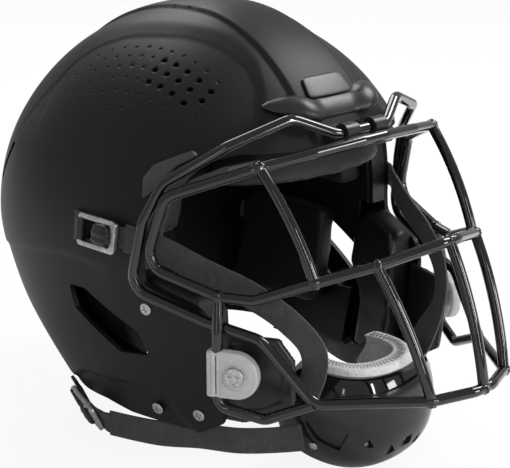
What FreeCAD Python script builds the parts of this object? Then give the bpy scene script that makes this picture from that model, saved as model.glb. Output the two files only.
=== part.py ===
import FreeCAD, Part
import math
import os
import Sketcher
from FreeCAD import Matrix, Placement, Rotation, Vector

# American football helmet: shell, liner, steel face mask, chin cup and its four straps.
# Millimetres. +Z is up, the wearer faces -Y and the wearer's left is +X. The origin is the centre of
# the underside of the bounding box: the lowest point of the chin cup is at height zero.

doc = FreeCAD.newDocument("FootballHelmet")
sheet = doc.addObject("Spreadsheet::Sheet", "Sizes")

SIZES = {
    # The shell's level sections are superellipses around one upright axis.
    "shell_half_width": 119.0,
    "shell_front_reach": 136.0,
    "shell_rear_reach": 164.5,
    "shell_centre_y": 31.4,
    "widest_height": 133.2,
    "crown_rise": 146.0,
    "side_fullness": 2.415,
    "crown_fullness": 1.96,
    # Below the widest line the shell tapers, and its sides run forward into the jaw flaps.
    "taper_depth": 91.2,
    "taper_power": 1.8,
    "rear_taper": 0.44,
    "side_taper": 0.116,
    "jaw_reach": 205.0,
    "jaw_fullness": 1.75,
    "jaw_blend_rise": 26.8,
    "jaw_blend_depth": 50.0,
    # Layers, from the outside in.
    "shell_wall": 3.5,
    "column_space": 12.2,
    "inner_wall": 2.5,
    "pad_thickness": 20.0,
    "jaw_pad_thickness": 23.0,
    "skin_gap": 0.3,
    # Edges of the face opening and of the rim, from the shell's axis and its widest line.
    "brow_rise": 73.8,
    "temple_back": 52.4,
    "jaw_front": 101.4,
    "jaw_drop": 102.7,
    "rear_drop": 87.2,
    "edge_radius": 9.0,
    "inner_edge_setback": 3.0,
    "trim_width": 5.0,
    "vent_hole_diameter": 3.4,
    "vent_pitch": 10.6,
    "rear_vent_width": 4.5,
    "column_diameter": 11.0,
    # Guards and bumpers.
    "bumper_half_width": 50.0,
    "bumper_thickness": 8.5,
    "bumper_height": 13.0,
    "bumper_lift": 14.7,
    "plate_half_width": 20.0,
    "plate_thickness": 1.6,
    "nape_half_width": 46.0,
    "nape_thickness": 5.0,
    "guard_wall": 4.0,
    "temple_guard_thickness": 1.6,
    # Face mask.
    "wire_diameter": 6.6,
    "bend_radius": 13.0,
    "brow_bar_rise": 82.8,
    "brow_bar_standoff": 15.4,
    "eye_bar_rise": 78.8,
    "eye_bar_standoff": 23.0,
    "side_bar_gap": 8.2,
    "chin_bar_reach": 224.4,
    "chin_bar_drop": 55.8,
    "nose_bar_reach": 195.4,
    "nose_bar_rise": 27.3,
    "bar_bow": 4.0,
    # Brow clips and side clips.
    "brow_clip_spacing": 25.0,
    "brow_clip_width": 11.0,
    "brow_clip_wall": 2.4,
    "running_clearance": 0.05,
    "clip_height": 29.0,
    "clip_bolt_offset": 11.5,
    "clip_plate_thickness": 7.0,
    "clip_wall": 2.8,
    "clip_yaw": 27.0,
    "clip_bolt_diameter": 7.0,
    "clip_head_diameter": 12.0,
    "clip_head_height": 2.0,
    "clip_base_diameter": 13.0,
    # Shell screws.
    "screw_head_diameter": 8.0,
    "screw_head_height": 1.6,
    "screw_shank_diameter": 4.0,
    "screw_length": 3.2,
    "screw_hole_depth": 5.0,
    "post_bend_radius": 8.0,
    # Buckles and their anchors.
    "buckle_length": 33.0,
    "buckle_height": 20.0,
    "buckle_bar": 3.0,
    "buckle_thickness": 3.0,
    "buckle_corner": 1.2,
    "buckle_lift": 5.2,
    "anchor_length": 13.0,
    "anchor_height": 19.0,
    "anchor_plate": 2.2,
    "knuckle_wall": 1.5,
    "cam_diameter": 5.0,
    "cam_setback": 11.0,
    "loop_length": 15.0,
    "loop_height": 7.0,
    "side_play": 0.4,
    # Straps.
    "strap_width": 17.0,
    "strap_thickness": 1.6,
    "strap_lift": 0.6,
    # Chin cup.
    "cup_half_width": 50.0,
    "cup_half_depth": 48.0,
    "cup_half_height": 44.0,
    "cup_centre_y": -92.0,
    "cup_wall": 3.2,
    "cup_pad_thickness": 6.0,
    "rivet_diameter": 6.0,
    "rivet_height": 1.4,
}

for row, (alias, value) in enumerate(SIZES.items(), start=1):
    sheet.set("A%d" % row, alias.replace("_", " "))
    sheet.set("B%d" % row, repr(value))
    sheet.setAlias("B%d" % row, alias)
doc.recompute()

NODES = []
SIDES = (("r", -1), ("l", 1))


def size(alias):
    """A driving size, read from the sheet."""
    return float(sheet.get(alias))


def add_node(part_object, name):
    """Name a finished sub-part and list it for export."""
    part_object.Label = name
    NODES.append(part_object)
    return part_object


def shape_node(name, shape, place=Placement()):
    """A sub-part whose form no primitive gives, such as a piece of the shell's surface."""
    feature = doc.addObject("Part::Feature", name)
    feature.Shape = shape
    feature.Placement = place
    return add_node(feature, name)


# ---------------------------------------------------------------- the shell's surface

HALF_WIDTH = size("shell_half_width")
FRONT = size("shell_front_reach")
REAR = size("shell_rear_reach")
AXIS_Y = size("shell_centre_y")
WIDEST = size("widest_height")
CROWN = size("crown_rise")
REAR_FULLNESS = size("side_fullness")
GAP = size("skin_gap")

OUTER_FACE = 0.0
OUTER_BACK = size("shell_wall")
INNER_FACE = OUTER_BACK + size("column_space")
INNER_BACK = INNER_FACE + size("inner_wall")
PAD_FACE = INNER_BACK + GAP
PAD_BACK = PAD_FACE + size("pad_thickness")
JAW_PAD_BACK = OUTER_BACK + GAP + size("jaw_pad_thickness")

SECTION_POINTS = 24
LOWER_RISES = (-110.0, -80.0, -50.0, -25.0, 0.0)
UPPER_ANGLES = (16, 32, 48, 63, 76, 85)


def smooth(value):
    """Smooth step from 0 to 1."""
    value = min(1.0, max(0.0, value))
    return value * value * (3.0 - 2.0 * value)


def section(rise, inset):
    """Half width, reaches and front exponent of the level section this far above the widest line."""
    blend = smooth((size("jaw_blend_rise") - rise) / size("jaw_blend_depth"))
    front = FRONT + (size("jaw_reach") - FRONT) * blend
    exponent = size("side_fullness") + (size("jaw_fullness") - size("side_fullness")) * blend
    if rise >= 0.0:
        fullness = size("crown_fullness")
        scale = (1.0 - min(1.0, rise / (CROWN - inset)) ** fullness) ** (1.0 / fullness)
        return (HALF_WIDTH - inset) * scale, (front - inset) * scale, (REAR - inset) * scale, exponent
    taper = min(1.2, -rise / size("taper_depth")) ** size("taper_power")
    half_width = HALF_WIDTH * (1.0 - size("side_taper") * taper) - inset
    rear = REAR * (1.0 - size("rear_taper") * taper) - inset
    return half_width, front - inset, rear, exponent


def surface_point(angle, rise, inset=0.0):
    """A point of the shell's surface from its bearing and its rise."""
    half_width, front, rear, exponent = section(rise, inset)
    across = math.cos(angle)
    along = math.sin(angle)
    reach = front
    if along > 0:
        reach = rear
        exponent = REAR_FULLNESS
    return Vector(half_width * math.copysign(abs(across) ** (2 / exponent), across),
                  AXIS_Y + reach * math.copysign(abs(along) ** (2 / exponent), along), WIDEST + rise)


def section_wire(rise, inset):
    """One level section of the shell as a smooth closed curve."""
    points = []
    for step in range(SECTION_POINTS):
        points.append(surface_point(math.pi / 2 + 2 * math.pi * step / SECTION_POINTS, rise, inset))
    curve = Part.BSplineCurve()
    curve.interpolate(points, PeriodicFlag=True)
    return Part.Wire(curve.toShape())


DOMES = {}


def dome(inset):
    """The closed solid inside the shell's surface, taken this far in (or out, if negative)."""
    if inset not in DOMES:
        profiles = [section_wire(rise, inset) for rise in LOWER_RISES]
        for degrees in UPPER_ANGLES:
            profiles.append(section_wire((CROWN - inset) * math.sin(math.radians(degrees)), inset))
        profiles.append(Part.Vertex(0, AXIS_Y, WIDEST + CROWN - inset))
        DOMES[inset] = Part.makeLoft(profiles, True)
    return DOMES[inset]


def outside(x, y, z, inset):
    """Positive outside the shell's surface, negative inside."""
    half_width, front, rear, exponent = section(z - WIDEST, inset)
    along = y - AXIS_Y
    reach = front
    if along > 0:
        reach = rear
        exponent = REAR_FULLNESS
    return (abs(x) / half_width) ** exponent + (abs(along) / reach) ** exponent - 1.0


def shell_x(y, z, out=0.0):
    """Distance of the shell's side from the middle plane at this place."""
    half_width, front, rear, exponent = section(z - WIDEST, -out)
    along = y - AXIS_Y
    reach = front
    if along > 0:
        reach = rear
        exponent = REAR_FULLNESS
    return half_width * max(0.0, 1.0 - (abs(along) / reach) ** exponent) ** (1 / exponent)


def shell_front_y(x, z, out=0.0):
    """The shell's front, seen from ahead, at this place."""
    half_width, front, _rear, exponent = section(z - WIDEST, -out)
    return AXIS_Y - front * (1.0 - (abs(x) / half_width) ** exponent) ** (1 / exponent)


def shell_normal(x, y, z):
    """Unit normal of the shell's surface."""
    step = 0.5
    slope = Vector(outside(x + step, y, z, 0.0) - outside(x - step, y, z, 0.0),
                   outside(x, y + step, z, 0.0) - outside(x, y - step, z, 0.0),
                   outside(x, y, z + step, 0.0) - outside(x, y, z - step, 0.0))
    return slope.normalize()


def layer(window, face, back):
    """The piece of the layer between two depths that lies in a window."""
    return window.common(dome(face)).cut(dome(back))


# ---------------------------------------------------------------- paths, outlines and windows

def bend(before, corner, after, radius):
    """Start, middle and end of the arc that rounds one corner."""
    to_before = (before - corner).normalize()
    to_after = (after - corner).normalize()
    half = to_before.getAngle(to_after) / 2
    limit = 0.45 * min(before.distanceToPoint(corner), after.distanceToPoint(corner))
    trim = min(radius / math.tan(half), limit)
    radius = trim * math.tan(half)
    middle = corner + (to_before + to_after).normalize() * (radius / math.sin(half) - radius)
    return corner + to_before * trim, middle, corner + to_after * trim


def is_straight(before, corner, after):
    """True where three points are in one line."""
    return (corner - before).getAngle(after - corner) < math.radians(0.5)


def rounded_wire(points, radius, closed=False):
    """Straight runs joined by tangent arcs."""
    count = len(points)
    corners = range(count) if closed else range(1, count - 1)
    edges = []
    start = None if closed else points[0]
    first = start
    for index in corners:
        before, corner, after = points[index - 1], points[index], points[(index + 1) % count]
        if is_straight(before, corner, after):
            continue
        arc_start, middle, arc_end = bend(before, corner, after, radius)
        if start is not None:
            edges.append(Part.LineSegment(start, arc_start).toShape())
        else:
            first = arc_start
        edges.append(Part.Arc(arc_start, middle, arc_end).toShape())
        start = arc_end
    edges.append(Part.LineSegment(start, first if closed else points[-1]).toShape())
    return Part.Wire(edges)


def side_outline(corners, radius):
    """A closed outline seen from the side, from (distance behind the axis, rise) pairs."""
    points = [Vector(0, AXIS_Y + back, WIDEST + rise) for back, rise in corners]
    return rounded_wire(points, radius, closed=True)


def side_window(outline, near, far, side=1, grow=0.0):
    """The outline run sideways through the helmet, from near to far off the middle plane."""
    wire = outline.makeOffset2D(grow) if grow else outline
    prism = Part.Face(wire).extrude(Vector(far - near, 0, 0))
    prism.translate(Vector(near, 0, 0))
    if side < 0:
        prism = prism.mirror(Vector(0, 0, 0), Vector(1, 0, 0))
    return prism


def box_window(half_low, half_high, back_low, back_high, rise_low, rise_high, side=1):
    """A box from its distances off the middle plane, behind the axis and above the widest line."""
    box = Part.makeBox(half_high - half_low, back_high - back_low, rise_high - rise_low)
    box.translate(Vector(half_low, AXIS_Y + back_low, WIDEST + rise_low))
    if side < 0:
        box = box.mirror(Vector(0, 0, 0), Vector(1, 0, 0))
    return box


def front_window(corners, radius):
    """A prism through the helmet's front, from (distance off the middle plane, rise) pairs."""
    points = [Vector(x, -BEYOND, WIDEST + rise) for x, rise in corners]
    return Part.Face(rounded_wire(points, radius, closed=True)).extrude(Vector(0, BEYOND - 40, 0))


def seat(x, y, z, out, toward=Vector(0, -1, 0)):
    """Place a piece on the shell: its own Z along the surface's normal, its own X toward the front."""
    normal = shell_normal(x, y, z)
    forward = (toward - normal * toward.dot(normal)).normalize()
    upward = normal.cross(forward)
    turn = Rotation(forward, upward, normal, "ZXY")
    return Placement(Vector(x, y, z) + normal * out, turn)


BROW = size("brow_rise")
TEMPLE = size("temple_back")
JAW_FRONT = size("jaw_front")
JAW_DROP = size("jaw_drop")
REAR_DROP = size("rear_drop")
BEYOND = 290.0

# What is cut away below the rim and in front of the face, seen from the side.
RIM = side_outline([
    (-BEYOND, BROW), (-TEMPLE - 40, BROW - 1), (-TEMPLE - 16, BROW - 10), (-TEMPLE - 4, BROW - 27),
    (-TEMPLE, 6.8), (-TEMPLE - 1, -6.2), (-JAW_FRONT + 10, -16.7), (-JAW_FRONT + 4, -29.2),
    (-JAW_FRONT, 30 - JAW_DROP), (-JAW_FRONT + 6, 10 - JAW_DROP), (-JAW_FRONT + 23, -JAW_DROP),
    (-23.4, -JAW_DROP - 0.5), (-1.4, 3 - JAW_DROP), (25.6, 3 - JAW_DROP), (68.6, -REAR_DROP - 6),
    (118.6, -REAR_DROP), (BEYOND, -REAR_DROP), (BEYOND, -REAR_DROP - 110), (-BEYOND, -REAR_DROP - 110),
], size("edge_radius"))

EAR_SLOT = side_outline([
    (13.6, -21.2), (-2.4, -20.2), (-45.4, -39.2), (-52.4, -54.2), (-28.4, -57.2), (8.6, -36.2),
], 3.0)

REAR_VENT = side_outline([(96.0, 52.0), (101.0, 52.0), (118.0, 24.0), (113.0, 24.0)], 1.0)

WIDE = HALF_WIDTH + 20


def both_sides(outline, near, far, grow=0.0):
    """The same window on the left and on the right."""
    return [side_window(outline, near, far, side, grow) for _name, side in SIDES]


# ---------------------------------------------------------------- shells

def vent_places():
    """Middles of the open vent holes on the wearer's left, in rows along the shell's shoulder."""
    rise = 119.8
    places = []
    for row in range(3):
        for step in range(5 - row):
            y = AXIS_Y - 63.8 + 4.0 * row + size("vent_pitch") * step
            z = WIDEST + rise - 6.0 - 6.4 * row - 0.42 * size("vent_pitch") * (4 - step) ** 0.8
            places.append((shell_x(y, z), y, z))
    return places


def vent_holes():
    """Cylinders that pierce the outer shell only."""
    radius = size("vent_hole_diameter") / 2
    depth = OUTER_BACK + 3.0
    holes = []
    for x, y, z in vent_places():
        for _name, side in SIDES:
            middle = Vector(side * x, y, z)
            normal = shell_normal(middle.x, y, z)
            holes.append(Part.makeCylinder(radius, 2 * depth, middle - normal * depth, normal))
    return holes


SCREW_PLACES = ((-50.2, -91.9), (-80.9, -89.0), (-54.2, -22.4))


def screw_seats():
    """Where the six shell screws sit."""
    seats = []
    for back, rise in SCREW_PLACES:
        for _name, side in SIDES:
            y = AXIS_Y + back
            z = WIDEST + rise
            seats.append(seat(side * shell_x(y, z), y, z, 0.0))
    return seats


def screw_holes():
    """The holes that the six screws are driven into."""
    radius = size("screw_shank_diameter") / 2
    depth = size("screw_hole_depth")
    holes = []
    for place in screw_seats():
        hole = Part.makeCylinder(radius, depth + 1, Vector(0, 0, -depth))
        hole.Placement = place
        holes.append(hole)
    return holes


def make_outer_shell():
    """The flexible outer shell, open at the face, the ears, the rim and the vents."""
    shell = dome(OUTER_FACE).cut(side_window(RIM, -WIDE, WIDE)).cut(dome(OUTER_BACK))
    cuts = both_sides(EAR_SLOT, 40, WIDE) + both_sides(REAR_VENT, 30, WIDE) + vent_holes() + screw_holes()
    return shell.cut(cuts)


def make_inner_shell():
    """The stiff inner shell behind the columns. It ends above the jaw flaps."""
    shell = dome(INNER_FACE).cut(side_window(RIM, -WIDE, WIDE, grow=size("inner_edge_setback")))
    jaw_room = box_window(-WIDE, WIDE, -BEYOND, -TEMPLE + 12, -JAW_DROP - 60, 2)
    return shell.cut([jaw_room] + both_sides(EAR_SLOT, 40, WIDE, grow=6.0)).cut(dome(INNER_BACK))


def make_edge_trim():
    """Rubber edging that closes the space between the two shells along the rim."""
    band = side_window(RIM, -WIDE, WIDE, grow=size("trim_width")).cut(side_window(RIM, -WIDE, WIDE))
    jaw_room = box_window(-WIDE, WIDE, -BEYOND, -TEMPLE + 12, -JAW_DROP - 60, 2)
    return layer(band.cut(jaw_room), OUTER_BACK + GAP, INNER_FACE - GAP)


COLUMN_RISES = (-70.0, -42.0, -14.0, 14.0, 42.0, 69.0, 94.0, 115.0, 131.0)
COLUMN_PITCH = 30.0


def depth_along(point, normal, inset):
    """How far in along the normal the surface at this inset lies."""
    low, high = -5.0, inset + 10.0
    for _step in range(14):
        middle = (low + high) / 2
        place = point - normal * middle
        if outside(place.x, place.y, place.z, inset) > 0:
            low = middle
        else:
            high = middle
    return low


def column_ends(point, normal):
    """How deep a column's outer and inner faces sit, so that no part of either meets a shell."""
    radius = size("column_diameter") / 2
    across = normal.cross(Vector(0, 0, 1)).normalize() * radius
    upward = normal.cross(across)
    tops = [depth_along(point, normal, OUTER_BACK)]
    feet = [depth_along(point, normal, INNER_FACE)]
    for step in range(8):
        turn = math.pi * step / 4
        place = point + across * math.cos(turn) + upward * math.sin(turn)
        tops.append(depth_along(place, normal, OUTER_BACK))
        feet.append(depth_along(place, normal, INNER_FACE))
    return max(tops) + 3 * GAP, min(feet) - 5 * GAP


def make_columns():
    """Buckling columns between the two shells, clear of the rim, the ear slots and the vents."""
    keep_out = [Part.Face(RIM.makeOffset2D(14)), Part.Face(EAR_SLOT.makeOffset2D(14)),
                Part.Face(REAR_VENT.makeOffset2D(8))]
    jaw_back = AXIS_Y - TEMPLE + 22
    columns = []
    for rise in COLUMN_RISES:
        half_width, _front, rear, _exponent = section(rise, 0.0)
        count = 2 * int(math.pi * (half_width + rear) / (2 * COLUMN_PITCH))
        for step in range(count):
            point = surface_point(2 * math.pi * (step + 0.5) / count, rise)
            seen_from_side = Vector(0, point.y, point.z)
            if any(face.isInside(seen_from_side, 0.1, True) for face in keep_out):
                continue
            if rise < 4 and point.y < jaw_back:
                continue
            normal = shell_normal(point.x, point.y, point.z)
            top, foot = column_ends(point, normal)
            columns.append(Part.makeCylinder(size("column_diameter") / 2, foot - top,
                                             point - normal * foot, normal))
    return Part.makeCompound(columns)


def make_shells():
    """Outer shell, inner shell, the edging and the columns between them."""
    shape_node("outer_shell", make_outer_shell())
    shape_node("inner_shell", make_inner_shell())
    shape_node("impact_columns", make_columns())
    shape_node("edge_trim", make_edge_trim())


# ---------------------------------------------------------------- liner pads

def make_pads():
    """The liner: one pad at the brow, crown, rear and nape, and pairs at the temples and jaws."""
    face, back = PAD_FACE, PAD_BACK
    shape_node("front_pad", layer(box_window(-84, 84, -BEYOND, -64, BROW - 24, BROW + 26), face, back))
    shape_node("crown_pad", layer(box_window(-38, 38, -58, 68, 70, CROWN), face, back))
    shape_node("rear_pad", layer(box_window(-60, 60, 72, BEYOND, -12, 92), face, back))
    shape_node("nape_pad", layer(box_window(-48, 48, 60, BEYOND, 10 - REAR_DROP, -16), face, back))
    jaw = side_outline([
        (-TEMPLE - 3, -2.0), (-JAW_FRONT + 14, -11.0), (-JAW_FRONT + 11, -30.0),
        (-JAW_FRONT + 8, 30 - JAW_DROP), (-JAW_FRONT + 14, 12 - JAW_DROP), (-TEMPLE - 6, 8 - JAW_DROP),
        (-TEMPLE - 4, -60.0), (-TEMPLE + 10, -40.0), (-TEMPLE + 8, -8.0),
    ], 5.0)
    for name, side in SIDES:
        temple = box_window(61, WIDE, -TEMPLE + 6, 66, 16, 94, side)
        shape_node("side_pad_" + name, layer(temple, face, back))
        window = side_window(jaw, 40, WIDE, side)
        shape_node("jaw_pad_" + name, layer(window, OUTER_BACK + GAP, JAW_PAD_BACK))


# ---------------------------------------------------------------- bumpers and guards

def make_bumpers():
    """The rubber brow bumper, the blank plate at its middle and the bumper at the nape."""
    half = size("bumper_half_width")
    low = BROW + size("bumper_lift")
    high = low + size("bumper_height")
    lobe = half - 28.0
    notch = high - 1.7
    left = [(lobe - 1.0, notch), (lobe, high), (half - 4.0, high), (half, low + 8.5), (half - 4.0, low + 5.5),
            (lobe, low)]
    right = [(-x, rise) for x, rise in reversed(left)]
    shape_node("front_bumper", layer(front_window(left + right, 1.5), -GAP - size("bumper_thickness"), -GAP))
    plate_half = size("plate_half_width")
    plate = box_window(-plate_half, plate_half, -BEYOND, -40, notch + GAP, notch + GAP + 11.0)
    shape_node("bumper_plate", layer(plate, -GAP - size("plate_thickness"), -GAP))
    nape_half = size("nape_half_width")
    nape = box_window(-nape_half, nape_half, 60, BEYOND, 6 - REAR_DROP, 40 - REAR_DROP)
    shape_node("rear_bumper", layer(nape, -GAP - size("nape_thickness"), -GAP))


def pair_node(name, outline, near, face, back):
    """One node that holds the same piece on both sides."""
    pieces = [layer(side_window(outline, near, WIDE, side), face, back) for _name, side in SIDES]
    shape_node(name, Part.makeCompound(pieces))


def make_guards():
    """Temple guards on the shell under the mask, edge strips at the brow and moulded jaw guards."""
    temple = side_outline([
        (-TEMPLE + 5, 45.0), (-TEMPLE + 8, 60.0), (-TEMPLE + 3, 69.0), (-TEMPLE - 20, BROW + 3.0),
        (-TEMPLE - 24, BROW - 1.5), (-TEMPLE - 14, BROW - 8.0), (-TEMPLE - 1.5, BROW - 26.0),
    ], 2.0)
    thickness = size("temple_guard_thickness")
    pair_node("temple_guards", temple, 50, -GAP - thickness, -GAP)
    strip = side_outline([
        (-TEMPLE - 15, 51.0), (-TEMPLE - 21, 58.0), (-TEMPLE - 37, 67.0), (-TEMPLE - 36, 61.0),
        (-TEMPLE - 19, 50.0),
    ], 1.5)
    pair_node("brow_guards", strip, 40, OUTER_BACK + GAP, PAD_FACE - GAP)
    jaw = side_outline([
        (-JAW_FRONT + 9.5, -31.0), (-JAW_FRONT - 30, -30.0), (-JAW_FRONT - 38, -44.0),
        (-JAW_FRONT - 36, -74.0), (-JAW_FRONT - 20, -84.0), (-JAW_FRONT - 6, -90.0),
        (-JAW_FRONT + 12.5, 12.5 - JAW_DROP), (-JAW_FRONT + 6.5, 30 - JAW_DROP),
    ], 3.0)
    for name, side in SIDES:
        window = side_window(jaw, 30, WIDE, side)
        face = OUTER_BACK + GAP
        shape_node("jaw_guard_" + name, layer(window, face, face + size("guard_wall")))


# ---------------------------------------------------------------- face mask

WIRE = size("wire_diameter") / 2
CHIN_Y = AXIS_Y - size("chin_bar_reach")
CHIN_Z = WIDEST - size("chin_bar_drop")
NOSE_Y = AXIS_Y - size("nose_bar_reach")
NOSE_Z = WIDEST + size("nose_bar_rise")
BROW_Z = WIDEST + size("brow_bar_rise")
BROW_Y = shell_front_y(0, BROW_Z) - size("brow_bar_standoff")
EYE_Z = WIDEST + size("eye_bar_rise")
EYE_Y = shell_front_y(0, EYE_Z) - size("eye_bar_standoff")


def beside(back, rise, gap):
    """A mask point that stands this far off the shell's side."""
    y = AXIS_Y + back
    z = WIDEST + rise
    return Vector(shell_x(y, z) + gap, y, z)


SIDE_GAP = size("side_bar_gap")
MASK_CORNER = Vector(shell_x(AXIS_Y - 97.4, WIDEST - 21.2) - 20.5, CHIN_Y + 62.0, CHIN_Z - 6.0)
CHIN_CORNER = Vector(34.6, CHIN_Y + 11.0, CHIN_Z - 1.5)
EYE_CORNER = Vector(78.0, EYE_Y + 19.0, EYE_Z - 8.0)
CHEEK = Vector(73.0, NOSE_Y + 38.4, NOSE_Z - 17.5)
NOSE_CORNER = Vector(45.6, NOSE_Y + 16.0, NOSE_Z - 8.5)
POST_TOP = beside(-106.4, -4.2, 5.0)
POST_X = POST_TOP.x + 3.6
POST_Y = POST_TOP.y - 3.0
POST_HIGH = WIDEST - 26.0
POST_LOW = WIDEST - 70.5


def wire_sweep(points, radius=size("bend_radius")):
    """A round bar along straight runs joined by bends."""
    path = rounded_wire(points, radius)
    direction = points[1] - points[0]
    section_circle = Part.Wire(Part.makeCircle(WIRE, points[0], direction))
    return path.makePipeShell([section_circle], True, False)


def with_mirror(half):
    """Join a half to its mirror image across the middle plane."""
    return half.fuse(half.mirror(Vector(0, 0, 0), Vector(1, 0, 0))).removeSplitter()


def bowed_bar(start, end):
    """A bar that bows forward a little between its two welds."""
    middle = (start + end) * 0.5 + Vector(0, -size("bar_bow"), 0)
    arc = Part.Arc(start, middle, end)
    circle = Part.Wire(Part.makeCircle(WIRE, start, arc.tangent(arc.FirstParameter)[0]))
    return Part.Wire(arc.toShape()).makePipeShell([circle], True, False)


def make_outer_ring():
    """The ring that runs over the brow, down the temples, along the jaw and under the chin."""
    points = [
        Vector(0, BROW_Y, BROW_Z), Vector(22, BROW_Y, BROW_Z),
        Vector(47, shell_front_y(47, BROW_Z + 11) - 19.4, BROW_Z + 11),
        beside(-97.4, 80.8, 24.5), beside(-68.4, 57.8, 11.3), beside(-59.0, 34.0, SIDE_GAP),
        beside(-52.4, -7.2, SIDE_GAP), beside(-97.4, -21.2, 4.8),
        beside(-131.4, -27.2, 8.0), MASK_CORNER, CHIN_CORNER,
        Vector(8, CHIN_Y, CHIN_Z), Vector(0, CHIN_Y, CHIN_Z),
    ]
    return with_mirror(wire_sweep(points))


def make_inner_ring():
    """The ring around the eyes."""
    points = [
        Vector(0, EYE_Y, EYE_Z), Vector(10, EYE_Y, EYE_Z), Vector(45, EYE_Y + 7.0, EYE_Z - 3.0),
        EYE_CORNER, beside(-72.4, 50.8, 12.5), beside(-60.4, 7.8, 4.8), POST_TOP,
        POST_TOP + Vector(-9, -20, 0), CHEEK, NOSE_CORNER, Vector(6, NOSE_Y, NOSE_Z), Vector(0, NOSE_Y, NOSE_Z),
    ]
    return with_mirror(wire_sweep(points))


def make_side_post():
    """The upright beside each jaw, with the short bar that runs on to the chin bar."""
    return wire_sweep([
        POST_TOP, Vector(POST_X, POST_Y, POST_HIGH), Vector(POST_X, POST_Y, POST_LOW),
        MASK_CORNER + Vector(12, 28, -14.5), MASK_CORNER,
    ], size("post_bend_radius"))


def mirrored_pair(shape):
    """Both copies of a piece that the mask has on each side."""
    return Part.makeCompound([shape.mirror(Vector(0, 0, 0), Vector(1, 0, 0)), shape])


def make_mask():
    """The welded steel mask."""
    shape_node("mask_outer_ring", make_outer_ring())
    shape_node("mask_inner_ring", make_inner_ring())
    shape_node("mask_eye_bars", mirrored_pair(bowed_bar(EYE_CORNER, CHEEK)))
    shape_node("mask_chin_bars", mirrored_pair(bowed_bar(NOSE_CORNER, CHIN_CORNER)))
    centre = bowed_bar(Vector(0, NOSE_Y, NOSE_Z), Vector(0, CHIN_Y, CHIN_Z))
    shape_node("mask_centre_bar", centre)
    shape_node("mask_side_posts", mirrored_pair(make_side_post()))


# ---------------------------------------------------------------- helpers for drawn pieces

def new_body(name):
    """A PartDesign body."""
    return doc.addObject("PartDesign::Body", name)


def plane_sketch(body, role, name):
    """A sketch on one of the body's own origin planes."""
    sketch = body.newObject("Sketcher::SketchObject", name)
    plane = [item for item in body.Origin.OriginFeatures if item.Role == role][0]
    sketch.AttachmentSupport = [(plane, "")]
    sketch.MapMode = "FlatFace"
    return sketch


def bind(sketch, constraint, name, expression):
    """Name a constraint and tie it to the sheet."""
    sketch.renameConstraint(constraint, name)
    sketch.setExpression("Constraints." + name, expression)


def circle_in(sketch, name, diameter, along="0", radius=5.0):
    """A circle on the sketch's own X axis."""
    index = sketch.addGeometry(Part.Circle(Vector(1, 0, 0), Vector(0, 0, 1), radius))
    bind(sketch, sketch.addConstraint(Sketcher.Constraint("Diameter", index, 2 * radius)),
         name + "_diameter", diameter)
    sketch.addConstraint(Sketcher.Constraint("PointOnObject", index, 3, -1))
    if along == "0":
        sketch.addConstraint(Sketcher.Constraint("PointOnObject", index, 3, -2))
    else:
        place = sketch.addConstraint(Sketcher.Constraint("DistanceX", -1, 1, index, 3, 1.0))
        bind(sketch, place, name + "_place", along)


def rectangle_in(sketch, name, low, high, height):
    """A rectangle from low to high along the sketch's X axis, with its height split by that axis."""
    corners = [Vector(1, -5, 0), Vector(20, -5, 0), Vector(20, 5, 0), Vector(1, 5, 0)]
    first = sketch.addGeometry([Part.LineSegment(corners[i], corners[(i + 1) % 4]) for i in range(4)])[0]
    for step in range(4):
        sketch.addConstraint(Sketcher.Constraint("Coincident", first + step, 2, first + (step + 1) % 4, 1))
    for step, direction in enumerate(("Horizontal", "Vertical", "Horizontal")):
        sketch.addConstraint(Sketcher.Constraint(direction, first + step))
    sketch.addConstraint(Sketcher.Constraint("Symmetric", first, 1, first + 3, 1, -1))
    tall = sketch.addConstraint(Sketcher.Constraint("DistanceY", first, 1, first + 3, 1, 10.0))
    bind(sketch, tall, name + "_height", height)
    if low == "0":
        sketch.addConstraint(Sketcher.Constraint("PointOnObject", first, 1, -2))
    else:
        left = sketch.addConstraint(Sketcher.Constraint("DistanceX", -1, 1, first, 1, -1.0))
        bind(sketch, left, name + "_low", low)
    right = sketch.addConstraint(Sketcher.Constraint("DistanceX", -1, 1, first + 1, 1, 20.0))
    bind(sketch, right, name + "_high", high)


def pad_of(body, sketch, length, name, midplane=True, reverse=False):
    """Pad a sketch to a length from the sheet."""
    pad = body.newObject("PartDesign::Pad", name)
    pad.Profile = sketch
    pad.setExpression("Length", length)
    pad.SideType = "Symmetric" if midplane else "One side"
    pad.Reversed = reverse
    return pad


def pocket_of(body, sketch, length, name):
    """Cut a sketch out on both sides of its plane."""
    pocket = body.newObject("PartDesign::Pocket", name)
    pocket.Profile = sketch
    pocket.setExpression("Length", length)
    pocket.SideType = "Symmetric"
    return pocket


# ---------------------------------------------------------------- buckles and anchors

# Where each buckle's hinge sits, behind the shell's axis and above its widest line.
BUCKLES = {"upper": (-8.0, 20.5), "lower": (26.6, -105.0)}


def buckle_seat(kind, side):
    """The buckle's hinge: its own Y along the pin, its own X toward the strap."""
    back, rise = BUCKLES[kind]
    y = AXIS_Y + back
    z = WIDEST + rise
    return seat(side * shell_x(y, z), y, z, size("buckle_lift"))


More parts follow.
